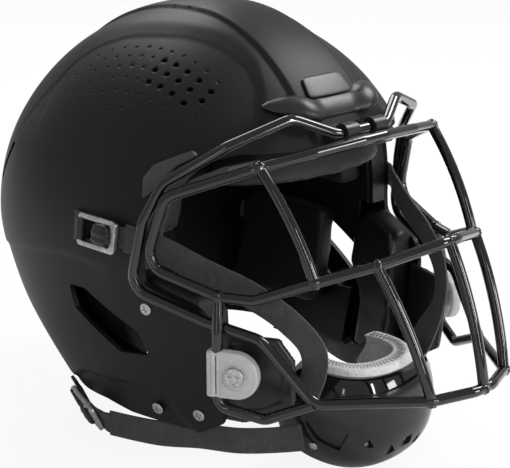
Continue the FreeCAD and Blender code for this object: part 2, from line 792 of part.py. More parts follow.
def make_buckle_frame(name, place):
    """A steel frame whose rear bar is the hinge pin."""
    body = new_body(name)
    outline = plane_sketch(body, "XY_Plane", name + "_outline")
    rectangle_in(outline, "outer", "0", "Sizes.buckle_length", "Sizes.buckle_height")
    pad_of(body, outline, "Sizes.buckle_thickness", name + "_plate")
    window = plane_sketch(body, "XY_Plane", name + "_window")
    rectangle_in(window, "inner", "-Sizes.buckle_bar", "Sizes.buckle_length - Sizes.buckle_bar",
                 "Sizes.buckle_height - 2 * Sizes.buckle_bar")
    pocket_of(body, window, "2 * Sizes.buckle_thickness", name + "_opening")
    pin = plane_sketch(body, "XZ_Plane", name + "_pin_outline")
    circle_in(pin, "pin", "Sizes.buckle_bar")
    pad_of(body, pin, "Sizes.buckle_height", name + "_pin")
    body.Placement = place
    return add_node(body, name)


def make_anchor(name, place):
    """A plastic plate on the shell with the knuckle that holds the buckle's pin."""
    body = new_body(name)
    knuckle = plane_sketch(body, "XZ_Plane", name + "_knuckle_outline")
    circle_in(knuckle, "knuckle", "Sizes.buckle_bar + 2 * Sizes.knuckle_wall")
    inner_width = "Sizes.buckle_height - 2 * Sizes.buckle_bar - 2 * Sizes.side_play"
    pad_of(body, knuckle, inner_width, name + "_knuckle")
    plate = plane_sketch(body, "XZ_Plane", name + "_plate_outline")
    low = "-Sizes.anchor_length + Sizes.buckle_bar / 2 + Sizes.knuckle_wall"
    rectangle_at(plate, "plate", low, "Sizes.buckle_bar / 2 + Sizes.knuckle_wall",
                 "-Sizes.buckle_lift + Sizes.skin_gap", "Sizes.anchor_plate")
    pad_of(body, plate, inner_width, name + "_plate")
    foot = plane_sketch(body, "XZ_Plane", name + "_foot_outline")
    rectangle_at(foot, "foot", low, "-Sizes.buckle_bar / 2 - Sizes.knuckle_wall",
                 "-Sizes.buckle_lift + Sizes.skin_gap", "Sizes.anchor_plate")
    pad_of(body, foot, "Sizes.anchor_height", name + "_foot")
    bore = plane_sketch(body, "XZ_Plane", name + "_bore_outline")
    circle_in(bore, "bore", "Sizes.buckle_bar + 2 * Sizes.running_clearance")
    pocket_of(body, bore, "2 * Sizes.buckle_height", name + "_bore")
    body.Placement = place
    return add_node(body, name)


def rectangle_at(sketch, name, low, high, base, height):
    """A rectangle from low to high along the sketch's X axis that rises by height from base."""
    corners = [Vector(-5, -6, 0), Vector(3, -6, 0), Vector(3, -3, 0), Vector(-5, -3, 0)]
    first = sketch.addGeometry([Part.LineSegment(corners[i], corners[(i + 1) % 4]) for i in range(4)])[0]
    for step in range(4):
        sketch.addConstraint(Sketcher.Constraint("Coincident", first + step, 2, first + (step + 1) % 4, 1))
    for step, direction in enumerate(("Horizontal", "Vertical", "Horizontal", "Vertical")):
        sketch.addConstraint(Sketcher.Constraint(direction, first + step))
    tall = sketch.addConstraint(Sketcher.Constraint("DistanceY", first, 1, first + 3, 1, 3.0))
    bind(sketch, tall, name + "_height", height)
    bottom = sketch.addConstraint(Sketcher.Constraint("DistanceY", -1, 1, first, 1, -6.0))
    bind(sketch, bottom, name + "_base", base)
    left = sketch.addConstraint(Sketcher.Constraint("DistanceX", -1, 1, first, 1, -5.0))
    bind(sketch, left, name + "_low", low)
    right = sketch.addConstraint(Sketcher.Constraint("DistanceX", -1, 1, first + 1, 1, 3.0))
    bind(sketch, right, name + "_high", high)


def make_cam(name, place):
    """The fixed bar inside the frame that the strap's end wraps round."""
    cam = doc.addObject("Part::Cylinder", name)
    cam.setExpression("Radius", "Sizes.cam_diameter / 2")
    cam.setExpression("Height", "Sizes.buckle_height - 2 * Sizes.buckle_bar")
    half = (size("buckle_height") - 2 * size("buckle_bar")) / 2
    local = Placement(Vector(size("buckle_length") - size("cam_setback"), half, 0),
                      Rotation(Vector(1, 0, 0), 90))
    cam.Placement = place.multiply(local)
    return add_node(cam, name)


def make_strap_loop(name, place):
    """The strap's end, wrapped round the cam bar."""
    width = size("buckle_height") - 2 * size("buckle_bar") - 2 * size("side_play")
    length = size("loop_length")
    height = size("loop_height")
    middle = size("buckle_length") - size("cam_setback")
    outline = rounded_wire([
        Vector(middle - length / 2, 0, -1.6), Vector(middle + length / 2, 0, -1.6),
        Vector(middle + length / 2, 0, height - 2.6), Vector(middle - length / 2, 0, height - 2.6),
    ], 2.0, closed=True)
    block = Part.Face(outline).extrude(Vector(0, width, 0))
    block.translate(Vector(0, -width / 2, 0))
    hole = Part.makeCylinder(size("cam_diameter") / 2 + 0.1, 2 * width, Vector(middle, -width, 0), Vector(0, 1, 0))
    return shape_node(name, block.cut(hole), place)


def make_buckles():
    """Four buckles: upper and lower, right and left."""
    for kind in BUCKLES:
        for name, side in SIDES:
            place = buckle_seat(kind, side)
            make_anchor("%s_anchor_%s" % (kind, name), place)
            make_buckle_frame("%s_buckle_%s" % (kind, name), place)
            make_cam("%s_cam_%s" % (kind, name), place)
            make_strap_loop("%s_loop_%s" % (kind, name), place)


# ---------------------------------------------------------------- clips and screws

def clip_seat(side):
    """The side clip's own frame: its Y along the post and its X along the plate toward the front."""
    yaw = math.radians(size("clip_yaw"))
    along = Vector(-side * math.sin(yaw), -math.cos(yaw), 0)
    outward = Vector(side * math.cos(yaw), -math.sin(yaw), 0)
    turn = Rotation(along, outward.cross(along), outward, "ZXY")
    middle = (POST_HIGH + POST_LOW) / 2 - 1.5
    return Placement(Vector(side * POST_X, POST_Y, middle), turn)


def make_side_clip(name, side):
    """A clear clip that loops round the mask's post and ends in a round plate for the bolt."""
    body = new_body(name)
    round_end = plane_sketch(body, "XY_Plane", name + "_round_outline")
    circle_in(round_end, "round", "Sizes.clip_height", "Sizes.clip_bolt_offset")
    pad_of(body, round_end, "Sizes.clip_plate_thickness", name + "_round")
    plate = plane_sketch(body, "XY_Plane", name + "_plate_outline")
    rectangle_in(plate, "plate", "0", "Sizes.clip_bolt_offset", "Sizes.clip_height")
    pad_of(body, plate, "Sizes.clip_plate_thickness", name + "_plate")
    loop = plane_sketch(body, "XZ_Plane", name + "_loop_outline")
    circle_in(loop, "loop", "Sizes.wire_diameter + 2 * Sizes.clip_wall")
    pad_of(body, loop, "Sizes.clip_height", name + "_loop")
    bore = plane_sketch(body, "XZ_Plane", name + "_bore_outline")
    circle_in(bore, "bore", "Sizes.wire_diameter + 2 * Sizes.running_clearance")
    pocket_of(body, bore, "2 * Sizes.clip_height", name + "_bore")
    hole = plane_sketch(body, "XY_Plane", name + "_hole_outline")
    circle_in(hole, "hole", "Sizes.clip_bolt_diameter + 2 * Sizes.running_clearance", "Sizes.clip_bolt_offset")
    pocket_of(body, hole, "2 * Sizes.clip_plate_thickness", name + "_hole")
    body.Placement = clip_seat(side)
    return add_node(body, name)


def make_clip_bolt(name, side):
    """A quarter-turn bolt: a round head on the clip and a shank that ends at the clip's back."""
    body = new_body(name)
    shank = plane_sketch(body, "XY_Plane", name + "_shank_outline")
    circle_in(shank, "shank", "Sizes.clip_bolt_diameter")
    pad_of(body, shank, "Sizes.clip_plate_thickness", name + "_shank")
    head = plane_sketch(body, "XY_Plane", name + "_head_outline")
    circle_in(head, "head", "Sizes.clip_head_diameter")
    head.AttachmentOffset = Placement(Vector(0, 0, size("clip_plate_thickness") / 2 + 0.05), Rotation())
    head.setExpression("AttachmentOffset.Base.z",
                       "Sizes.clip_plate_thickness / 2 + Sizes.running_clearance")
    pad_of(body, head, "Sizes.clip_head_height", name + "_head", midplane=False)
    neck = plane_sketch(body, "XY_Plane", name + "_neck_outline")
    circle_in(neck, "neck", "Sizes.clip_bolt_diameter")
    pad_of(body, neck, "Sizes.clip_plate_thickness / 2 + Sizes.clip_head_height / 2", name + "_neck",
           midplane=False)
    slot = plane_sketch(body, "XY_Plane", name + "_slot_outline")
    rectangle_in(slot, "slot", "-0.32 * Sizes.clip_head_diameter", "0.32 * Sizes.clip_head_diameter", "1.6")
    slot.setExpression("AttachmentOffset.Base.z",
                       "Sizes.clip_plate_thickness / 2 + Sizes.running_clearance + Sizes.clip_head_height")
    pocket_of(body, slot, "Sizes.clip_head_height", name + "_slot")
    body.Placement = clip_seat(side).multiply(Placement(Vector(size("clip_bolt_offset"), 0, 0), Rotation()))
    return add_node(body, name)


def make_clip_bases():
    """Bosses on the jaw guards that the clip bolts lock into."""
    bases = []
    for _name, side in SIDES:
        length = 40.0
        base = Part.makeCylinder(size("clip_base_diameter") / 2, length, Vector(0, 0, -length))
        shift = Vector(size("clip_bolt_offset"), 0, -size("clip_plate_thickness") / 2 - GAP)
        base.Placement = clip_seat(side).multiply(Placement(shift, Rotation()))
        bases.append(base.cut(dome(OUTER_BACK + GAP)))
    shape_node("clip_bases", Part.makeCompound([nearest_solid(base) for base in bases]))


def nearest_solid(shape):
    """The outermost solid of a cut shape: the one farthest from the middle plane."""
    return max(shape.Solids, key=lambda solid: abs(solid.CenterOfMass.x))


def make_brow_clips():
    """Two clips that hold the brow bar, with a running fit, to the shell above the face."""
    wall = size("brow_clip_wall")
    width = size("brow_clip_width")
    clips = []
    for _name, side in SIDES:
        middle = side * size("brow_clip_spacing") / 2
        outer = Part.makeCylinder(WIRE + wall, width, Vector(middle - width / 2, BROW_Y, BROW_Z), Vector(1, 0, 0))
        tongue = Part.makeBox(width, -BROW_Y - 40, WIRE + wall + 2)
        tongue.translate(Vector(middle - width / 2, BROW_Y, BROW_Z - WIRE - wall))
        bore = Part.makeCylinder(WIRE + size("running_clearance"), 2 * width,
                                 Vector(middle - width, BROW_Y, BROW_Z), Vector(1, 0, 0))
        clips.append(outer.fuse(tongue).cut(bore).cut(dome(-GAP)))
    pieces = [min(clip.Solids, key=lambda solid: solid.CenterOfMass.y) for clip in clips]
    shape_node("brow_clips", Part.makeCompound(pieces))


def make_screws():
    """Six pan-head screws through the shell."""
    parts = []
    for place in screw_seats():
        head = Part.makeCylinder(size("screw_head_diameter") / 2, size("screw_head_height"))
        head = head.makeChamfer(0.5, [head.Edges[0]])
        shank = Part.makeCylinder(size("screw_shank_diameter") / 2, size("screw_length"),
                                  Vector(0, 0, -size("screw_length")))
        screw = head.fuse(shank).removeSplitter()
        screw.Placement = place
        parts.append(screw)
    shape_node("shell_screws", Part.makeCompound(parts))


# ---------------------------------------------------------------- chin cup and straps

CUP = Vector(0, size("cup_centre_y"), size("cup_half_height"))


def cup_solid(inset):
    """An egg-shaped solid, taken this far in."""
    scale = Matrix()
    scale.scale(size("cup_half_width") - inset, size("cup_half_depth") - inset, size("cup_half_height") - inset)
    egg = Part.makeSphere(1.0).transformGeometry(scale)
    egg.translate(CUP)
    return egg


def cup_window(rim, rear):
    """What is kept of the cup: below its brim and ahead of its rear edge."""
    depth = size("cup_half_depth")
    height = size("cup_half_height")
    points = [Vector(-80, CUP.y - 2 * depth, CUP.z + 0.55 * height + rim),
              Vector(-80, CUP.y + 0.12 * depth + rear, CUP.z + 0.62 * height + rim),
              Vector(-80, CUP.y + 0.42 * depth + rear, CUP.z + 0.16 * height),
              Vector(-80, CUP.y + 0.62 * depth + rear, CUP.z - 2 * height),
              Vector(-80, CUP.y - 2 * depth, CUP.z - 2 * height)]
    return Part.Face(rounded_wire(points, 6.0, closed=True)).extrude(Vector(160, 0, 0))


def make_chin_cup():
    """Hard cup, its soft liner and the two rivets of the straps."""
    wall = size("cup_wall")
    shape_node("chin_cup_shell", cup_window(0, 0).common(cup_solid(0.0)).cut(cup_solid(wall)))
    liner_face = wall + GAP
    liner = cup_window(4.0, 6.0).common(cup_solid(liner_face))
    shape_node("chin_cup_pad", liner.cut(cup_solid(liner_face + size("cup_pad_thickness"))))
    rivets = []
    for _name, side in SIDES:
        direction = Vector(side * 0.74, -0.3, -0.6).normalize()
        reach = 1 / math.sqrt((direction.x / size("cup_half_width")) ** 2
                              + (direction.y / size("cup_half_depth")) ** 2
                              + (direction.z / size("cup_half_height")) ** 2)
        foot = CUP + direction * (reach - 1.0)
        rivet = Part.makeCylinder(size("rivet_diameter") / 2, size("rivet_height") + 1.0, foot, direction)
        rivets.append(rivet.cut(cup_solid(0.0)))
    shape_node("cup_rivets", Part.makeCompound(rivets))


def strap_section(point, along, upward):
    """The strap's cross-section, with its width as near as it can be to the given direction."""
    width = (upward - along * upward.dot(along)).normalize() * (size("strap_width") / 2)
    depth = along.cross(width).normalize() * (size("strap_thickness") / 2)
    corners = [point + width + depth, point - width + depth, point - width - depth, point + width - depth]
    return Part.makePolygon(corners + [corners[0]])


def strap(name, side, stations):
    """A strap through stations: each a point on the right-hand side and the direction of its width."""
    points = [Vector(-side * point.x, point.y, point.z) for point, _upward in stations]
    sections = []
    for index, (_point, upward) in enumerate(stations):
        before = points[max(0, index - 1)]
        after = points[min(len(points) - 1, index + 1)]
        along = (after - before).normalize()
        sections.append(strap_section(points[index], along, Vector(-side * upward.x, upward.y, upward.z)))
    return shape_node(name, Part.makeLoft(sections, True, True))


UP = Vector(0, 0, 1)


def on_shell(back, rise):
    """A strap's station that lies flat on the right-hand side of the shell."""
    y = AXIS_Y + back
    z = WIDEST + rise
    place = Vector(-shell_x(y, z), y, z)
    normal = shell_normal(place.x, y, z)
    lift = size("strap_lift") + size("strap_thickness") / 2
    return place + normal * lift, UP - normal * UP.dot(normal)


def make_straps():
    """Upper straps run in past the edge of the face opening, lower straps run under the jaw."""
    upper_front = BUCKLES["upper"][0] - size("buckle_length") - 0.8
    upper = [
        on_shell(upper_front, 20.5),
        on_shell(upper_front - 6, 20.2),
        on_shell(upper_front - 12, 19.8),
        (Vector(-106.5, -33.0, 149.0), UP),
        (Vector(-95.0, -56.0, 138.5), UP),
        (Vector(-82.0, -84.0, 127.0), UP),
        (Vector(-70.0, -104.0, 112.0), Vector(0, -0.3, 1)),
        (Vector(-60.0, -112.0, 96.0), Vector(0, -0.7, 1)),
        (Vector(-53.5, -108.0, 78.0), Vector(0, -1, 0.4)),
        (Vector(-51.5, -101.0, 62.0), Vector(0, -1, 0.2)),
    ]
    lower = [
        (Vector(-104.0, 24.0, 19.0), UP),
        (Vector(-98.5, 6.0, 19.0), UP),
        (Vector(-94.5, -12.0, 20.5), UP),
        (Vector(-86.0, -42.0, 25.5), UP),
        (Vector(-75.0, -66.0, 26.5), UP),
        (Vector(-60.0, -84.0, 28.0), UP),
        (Vector(-50.8, -97.0, 31.0), Vector(0.15, 0, 1)),
    ]
    for name, side in SIDES:
        strap("upper_strap_" + name, side, upper)
        strap("lower_strap_" + name, side, lower)


# ---------------------------------------------------------------- build, check and export

def check_document():
    """Stop if any object or any sub-part failed."""
    for item in doc.Objects:
        if "Invalid" in item.State or "Error" in item.State:
            raise RuntimeError("failed object: %s %s" % (item.Label, item.State))
    for node in NODES:
        shape = node.Shape
        if shape.isNull() or not shape.isValid() or not shape.Solids:
            raise RuntimeError("bad shape: " + node.Label)


def export_nodes():
    """Write one file for each sub-part."""
    os.makedirs("parts", exist_ok=True)
    for node in NODES:
        node.Shape.exportStep("parts/%s.step" % node.Label)


make_shells()
make_pads()
make_bumpers()
make_guards()
make_mask()
make_brow_clips()
make_screws()
for suffix, hand in SIDES:
    make_side_clip("side_clip_" + suffix, hand)
    make_clip_bolt("clip_bolt_" + suffix, hand)
make_clip_bases()
make_buckles()
make_chin_cup()
make_straps()
doc.recompute()
check_document()
export_nodes()
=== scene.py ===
"""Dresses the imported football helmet: shell, liner, guards, mask, buckles, straps and chin cup.

Lengths are metres. The wearer faces -Y, the wearer's left is +X and +Z is up.
"""

from __future__ import annotations

import logging
import math
from dataclasses import dataclass, field
from enum import Enum
from typing import Callable, Optional, Sequence

import bpy
import numpy as np
from mathutils import Matrix, Vector

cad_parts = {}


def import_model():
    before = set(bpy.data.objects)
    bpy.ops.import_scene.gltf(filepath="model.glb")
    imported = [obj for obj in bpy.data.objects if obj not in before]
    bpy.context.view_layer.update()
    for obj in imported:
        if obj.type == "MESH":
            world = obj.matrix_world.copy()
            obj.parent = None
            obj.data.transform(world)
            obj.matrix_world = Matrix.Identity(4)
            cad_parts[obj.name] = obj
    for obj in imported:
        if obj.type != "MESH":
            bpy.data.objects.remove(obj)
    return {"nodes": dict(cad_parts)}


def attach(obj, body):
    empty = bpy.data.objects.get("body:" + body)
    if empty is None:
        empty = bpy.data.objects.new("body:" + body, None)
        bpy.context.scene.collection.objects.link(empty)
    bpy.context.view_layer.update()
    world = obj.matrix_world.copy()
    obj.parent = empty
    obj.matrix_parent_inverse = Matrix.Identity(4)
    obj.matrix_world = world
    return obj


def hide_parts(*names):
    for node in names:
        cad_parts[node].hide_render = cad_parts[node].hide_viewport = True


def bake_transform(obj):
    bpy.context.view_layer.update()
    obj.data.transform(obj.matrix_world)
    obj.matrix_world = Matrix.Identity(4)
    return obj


log = logging.getLogger("helmet")
MM = 0.001
SIDES = (("r", -1), ("l", 1))


# ---------------------------------------------------------------- workshop


def deselect() -> None:
    """Leave object mode everywhere and select nothing."""
    if bpy.context.object and bpy.context.object.mode != "OBJECT":
        bpy.ops.object.mode_set(mode="OBJECT")
    bpy.ops.object.select_all(action="DESELECT")


def activate(piece: bpy.types.Object) -> bpy.types.Object:
    """Select one piece alone and make it active."""
    deselect()
    piece.select_set(True)
    bpy.context.view_layer.objects.active = piece
    return piece


def named(name: str) -> bpy.types.Object:
    """Name the piece that an operator has just added."""
    piece = bpy.context.object
    piece.name = name
    piece.data.name = name
    return piece


def points_of(piece: bpy.types.Object) -> np.ndarray:
    """The piece's vertices as rows."""
    flat = np.empty(3 * len(piece.data.vertices), np.float32)
    piece.data.vertices.foreach_get("co", flat)
    return flat.reshape(-1, 3).astype(float)


def set_points(piece: bpy.types.Object, rows: np.ndarray) -> None:
    """Move the piece's vertices to these rows."""
    piece.data.vertices.foreach_set("co", np.asarray(rows, np.float32).ravel())
    piece.data.update()


def edit_all(piece: bpy.types.Object) -> None:
    """Enter edit mode with everything selected."""
    activate(piece)
    bpy.ops.object.mode_set(mode="EDIT")
    bpy.ops.mesh.select_all(action="SELECT")


def leave_edit() -> None:
    """Back to object mode."""
    bpy.ops.object.mode_set(mode="OBJECT")


def tidy(piece: bpy.types.Object, distance: float = 1e-6) -> bpy.types.Object:
    """Merge doubles and turn every face outwards."""
    edit_all(piece)
    bpy.ops.mesh.remove_doubles(threshold=distance)
    bpy.ops.mesh.normals_make_consistent(inside=False)
    leave_edit()
    return piece


def modify(piece: bpy.types.Object, kind: str, **settings: object) -> bpy.types.Object:
    """Add one modifier with its settings and apply it."""
    activate(piece)
    modifier = piece.modifiers.new(kind.title(), kind)
    for key, value in settings.items():
        setattr(modifier, key, value)
    bpy.ops.object.modifier_apply(modifier=modifier.name)
    return piece


def remove(piece: bpy.types.Object) -> None:
    """Delete a piece that was only a tool."""
    mesh = piece.data
    bpy.data.objects.remove(piece)
    bpy.data.meshes.remove(mesh)


def carve(piece: bpy.types.Object, tool: bpy.types.Object, operation: str = "DIFFERENCE") -> bpy.types.Object:
    """Cut, join or intersect a piece with a tool, which is used up.

    Args:
        piece: the piece that is changed.
        tool: the closed mesh it is cut with.
        operation: DIFFERENCE, UNION or INTERSECT.

    Returns:
        The changed piece.
    """
    before = len(piece.data.polygons)
    spare = piece.data.copy()
    modify(piece, "BOOLEAN", object=tool, operation=operation, solver="MANIFOLD")
    count = len(piece.data.polygons)
    if count == 0 or (count == before and operation != "UNION"):
        piece.data = spare
        modify(piece, "BOOLEAN", object=tool, operation=operation, solver="EXACT")
        log.info("%s was cut the slow way by %s", piece.name, tool.name)
    remove(tool)
    return piece


def smooth_faces(piece: bpy.types.Object, degrees: float = 35.0) -> bpy.types.Object:
    """Smooth shading that keeps edges sharper than this angle."""
    activate(piece)
    bpy.ops.object.shade_smooth_by_angle(angle=math.radians(degrees))
    return piece


def smooth_all(piece: bpy.types.Object) -> bpy.types.Object:
    """Smooth shading over the whole piece."""
    activate(piece)
    bpy.ops.object.shade_smooth()
    return piece


def copy_of(piece: bpy.types.Object, name: str, place: Matrix) -> bpy.types.Object:
    """A copy with its own mesh, with the place in its mesh."""
    twin = piece.copy()
    twin.data = piece.data.copy()
    twin.name = name
    twin.data.name = name
    bpy.context.scene.collection.objects.link(twin)
    twin.data.transform(place)
    if place.determinant() < 0:
        twin.data.flip_normals()
    return twin


def joined(name: str, pieces: Sequence[bpy.types.Object]) -> bpy.types.Object:
    """Several pieces as one."""
    deselect()
    for piece in pieces:
        piece.select_set(True)
    bpy.context.view_layer.objects.active = pieces[0]
    if len(pieces) > 1:
        bpy.ops.object.join()
    return named(name)


def prism(name: str, outline: Sequence[tuple], low: float, high: float, axis: str = "x") -> bpy.types.Object:
    """A closed outline run along one axis.

    Args:
        name: the new piece's name.
        outline: points in the plane across the axis, in metres, in (y, z), (x, z) or (x, y).
        low: where the prism starts along the axis.
        high: where it ends.
        axis: x, y or z.

    Returns:
        The closed prism.
    """
    bpy.ops.mesh.primitive_circle_add(vertices=len(outline), radius=1.0, fill_type="NGON")
    piece = named(name)
    order = {"x": (2, 0, 1), "y": (0, 2, 1), "z": (0, 1, 2)}[axis]
    rows = [[(point[0], point[1], low)[index] for index in order] for point in outline]
    set_points(piece, np.array(rows))
    edit_all(piece)
    step = {"x": (high - low, 0, 0), "y": (0, high - low, 0), "z": (0, 0, high - low)}[axis]
    bpy.ops.mesh.extrude_region_move(TRANSFORM_OT_translate={"value": step})
    bpy.ops.mesh.select_all(action="SELECT")
    bpy.ops.mesh.normals_make_consistent(inside=False)
    leave_edit()
    return piece


def metres(outline: Sequence[tuple]) -> list[tuple]:
    """An outline that is given in millimetres, in metres."""
    return [(across * MM, up * MM) for across, up in outline]


def rounded(corners: Sequence[tuple], radius: float, steps: int = 5) -> list[tuple]:
    """A closed outline whose corners are rounded.

    Args:
        corners: the sharp corners in order.
        radius: the radius of each corner, smaller where a side is short.
        steps: points along each corner.

    Returns:
        The outline's points.
    """
    outline: list[tuple] = []
    count = len(corners)
    for index, corner in enumerate(corners):
        here = Vector(corner)
        before = Vector(corners[index - 1]) - here
        after = Vector(corners[(index + 1) % count]) - here
        half = before.angle(after) / 2
        if half > math.radians(89.5):
            outline.append(tuple(here))
            continue
        trim = min(radius / math.tan(half), 0.45 * min(before.length, after.length))
        start = here + before.normalized() * trim
        end = here + after.normalized() * trim
        for step in range(steps + 1):
            t = step / steps
            outline.append(tuple(start * (1 - t) ** 2 + here * 2 * t * (1 - t) + end * t * t))
    return outline


def block(name: str, cuts: int, fullness: float = 4.0) -> bpy.types.Object:
    """A soft-cornered closed block from -1 to 1 on each axis, ready to be laid on a surface."""
    bpy.ops.mesh.primitive_cube_add(size=2)
    piece = named(name)
    edit_all(piece)
    bpy.ops.mesh.subdivide(number_cuts=cuts)
    leave_edit()
    rows = points_of(piece)
    rows /= (np.abs(rows) ** fullness).sum(1)[:, None] ** (1 / fullness)
    set_points(piece, rows)
    return piece


def rod(name: str, sides: int, radius: float, length: float, place: Matrix) -> bpy.types.Object:
    """A round bar along the place's Z, with its sizes in millimetres."""
    bpy.ops.mesh.primitive_cylinder_add(vertices=sides, radius=radius * MM, depth=length * MM)
    piece = named(name)
    piece.data.transform(place)
    return piece


def slab(name: str, size: Sequence[float], place: Matrix) -> bpy.types.Object:
    """A box round the place's origin, with its sizes in millimetres."""
    bpy.ops.mesh.primitive_cube_add(size=1)
    piece = named(name)
    piece.data.transform(place @ Matrix.Diagonal((*[edge * MM for edge in size], 1)))
    return piece


def shift(x: float, y: float, z: float) -> Matrix:
    """A move, in millimetres."""
    return Matrix.Translation(Vector((x, y, z)) * MM)


def frame_at(origin: Vector, along: Vector, outward: Vector) -> Matrix:
    """A local frame: X along the surface, Z out of it."""
    outward = outward.normalized()
    along = (along - outward * along.dot(outward)).normalized()
    across = outward.cross(along)
    turn = Matrix((along, across, outward)).transposed().to_4x4()
    return Matrix.Translation(origin) @ turn


def ease(value: np.ndarray | float) -> np.ndarray | float:
    """Smooth step from 0 to 1."""
    value = np.clip(value, 0.0, 1.0)
    return value * value * (3.0 - 2.0 * value)


# ---------------------------------------------------------------- finishes


class Grain(Enum):
    """What a finish's bump follows."""

    PLAIN = "plain"
    WEAVE = "weave"
    KNIT = "knit"
    BRUSHED = "brushed"
    PEBBLE = "pebble"


@dataclass(frozen=True)
class Finish:
    """One finish of the helmet."""

    name: str
    colour: tuple[float, float, float]
    second: tuple[float, float, float]
    roughness: float
    spread: float = 0.05
    metallic: float = 0.0
    specular: float = 0.5
    coat: float = 0.0
    coat_roughness: float = 0.05
    transmission: float = 0.0
    sheen: float = 0.0
    scale: float = 40.0
    bump: float = 0.05
    pitch: float = 0.0015
    grain: Grain = Grain.PLAIN

    def material(self) -> bpy.types.Material:
        """The finish as a node material, made once."""
        found = bpy.data.materials.get(self.name)
        if found:
            return found
        material = bpy.data.materials.new(self.name)
        material.use_nodes = True
        nodes, links = material.node_tree.nodes, material.node_tree.links
        shader = nodes["Principled BSDF"]
        for socket, value in (("Metallic", self.metallic), ("Specular IOR Level", self.specular),
                              ("Coat Weight", self.coat), ("Coat Roughness", self.coat_roughness),
                              ("Transmission Weight", self.transmission), ("Sheen Weight", self.sheen),
                              ("Sheen Roughness", 0.4)):
            shader.inputs[socket].default_value = value
        place = nodes.new("ShaderNodeTexCoord")
        cloud = nodes.new("ShaderNodeTexNoise")
        cloud.inputs["Scale"].default_value = self.scale
        cloud.inputs["Detail"].default_value = 6.0
        links.new(place.outputs["Object"], cloud.inputs["Vector"])
        ramp = nodes.new("ShaderNodeValToRGB")
        ramp.color_ramp.elements[0].position = 0.3
        ramp.color_ramp.elements[0].color = (*self.colour, 1.0)
        ramp.color_ramp.elements[1].position = 0.72
        ramp.color_ramp.elements[1].color = (*self.second, 1.0)
        links.new(cloud.outputs["Fac"], ramp.inputs["Fac"])
        links.new(ramp.outputs["Color"], shader.inputs["Base Color"])
        span = nodes.new("ShaderNodeMapRange")
        span.inputs["To Min"].default_value = max(0.02, self.roughness - self.spread)
        span.inputs["To Max"].default_value = min(1.0, self.roughness + self.spread)
        links.new(cloud.outputs["Fac"], span.inputs["Value"])
        links.new(span.outputs["Result"], shader.inputs["Roughness"])
        height = self._height(nodes, links, place)
        bump = nodes.new("ShaderNodeBump")
        bump.inputs["Strength"].default_value = self.bump
        bump.inputs["Distance"].default_value = 0.0006
        links.new(height, bump.inputs["Height"])
        links.new(bump.outputs["Normal"], shader.inputs["Normal"])
        return material

    def _height(self, nodes: bpy.types.Nodes, links: bpy.types.NodeLinks,
                place: bpy.types.Node) -> bpy.types.NodeSocket:
        """The socket that the bump reads, by the finish's grain."""
        if self.grain is Grain.WEAVE:
            waves = []
            for direction, pitch in (("X", self.pitch), ("Y", self.pitch * 0.8)):
                wave = nodes.new("ShaderNodeTexWave")
                wave.bands_direction = direction
                wave.inputs["Scale"].default_value = 0.314 / pitch
                wave.inputs["Distortion"].default_value = 0.4
                links.new(place.outputs["UV"], wave.inputs["Vector"])
                waves.append(wave)
            mix = nodes.new("ShaderNodeMath")
            mix.operation = "MULTIPLY"
            links.new(waves[0].outputs["Fac"], mix.inputs[0])
            links.new(waves[1].outputs["Fac"], mix.inputs[1])
            return mix.outputs[0]
        if self.grain in (Grain.KNIT, Grain.PEBBLE):
            cells = nodes.new("ShaderNodeTexVoronoi")
            cells.inputs["Scale"].default_value = 1.0 / self.pitch
            cells.feature = "F1" if self.grain is Grain.KNIT else "SMOOTH_F1"
            links.new(place.outputs["Object"], cells.inputs["Vector"])
            return cells.outputs["Distance"]
        fine = nodes.new("ShaderNodeTexNoise")
        fine.inputs["Scale"].default_value = 1.0 / self.pitch
        fine.inputs["Detail"].default_value = 3.0
        if self.grain is Grain.BRUSHED:
            stretch = nodes.new("ShaderNodeMapping")
            stretch.inputs["Scale"].default_value = (1.0, 1.0, 14.0)
            links.new(place.outputs["Object"], stretch.inputs["Vector"])
            links.new(stretch.outputs["Vector"], fine.inputs["Vector"])
        else:
            links.new(place.outputs["Object"], fine.inputs["Vector"])
        return fine.outputs["Fac"]

    def dress(self, piece: bpy.types.Object) -> bpy.types.Object:
        """Give a piece this finish alone."""
        piece.data.materials.clear()
        piece.data.materials.append(self.material())
        return piece


SHELL_PAINT = Finish("satin_charcoal_shell", (0.0095, 0.0095, 0.0101), (0.0122, 0.0122, 0.0129), 0.44, 0.03,
                     specular=0.19, scale=9.0, bump=0.03, pitch=0.0009)
MASK_COAT = Finish("gloss_black_bar", (0.003, 0.003, 0.0034), (0.0045, 0.0045, 0.005), 0.07, 0.02,
                   specular=0.45, coat=0.5, coat_roughness=0.04, scale=60.0, bump=0.01, pitch=0.002)
BLACK_PLASTIC = Finish("moulded_black_plastic", (0.013, 0.013, 0.014), (0.019, 0.019, 0.020), 0.32, 0.06,
                       specular=0.4, scale=50.0, bump=0.08, pitch=0.0007, grain=Grain.PEBBLE)
INNER_PLASTIC = Finish("inner_shell_plastic", (0.006, 0.006, 0.007), (0.009, 0.009, 0.010), 0.5, 0.06,
                       specular=0.3, scale=30.0, bump=0.05)
RUBBER = Finish("dark_rubber", (0.011, 0.011, 0.012), (0.018, 0.018, 0.020), 0.36, 0.07,
                specular=0.4, scale=70.0, bump=0.08, pitch=0.0006)
GREY_GUARD = Finish("grey_guard_strip", (0.045, 0.046, 0.048), (0.065, 0.066, 0.069), 0.5, 0.06,
                    specular=0.4, scale=80.0, bump=0.06, pitch=0.0008)
LINER_SKIN = Finish("liner_skin", (0.006, 0.006, 0.007), (0.012, 0.012, 0.0135), 0.55, 0.08,
                    specular=0.32, sheen=0.05, scale=45.0, bump=0.25, pitch=0.0011, grain=Grain.KNIT)
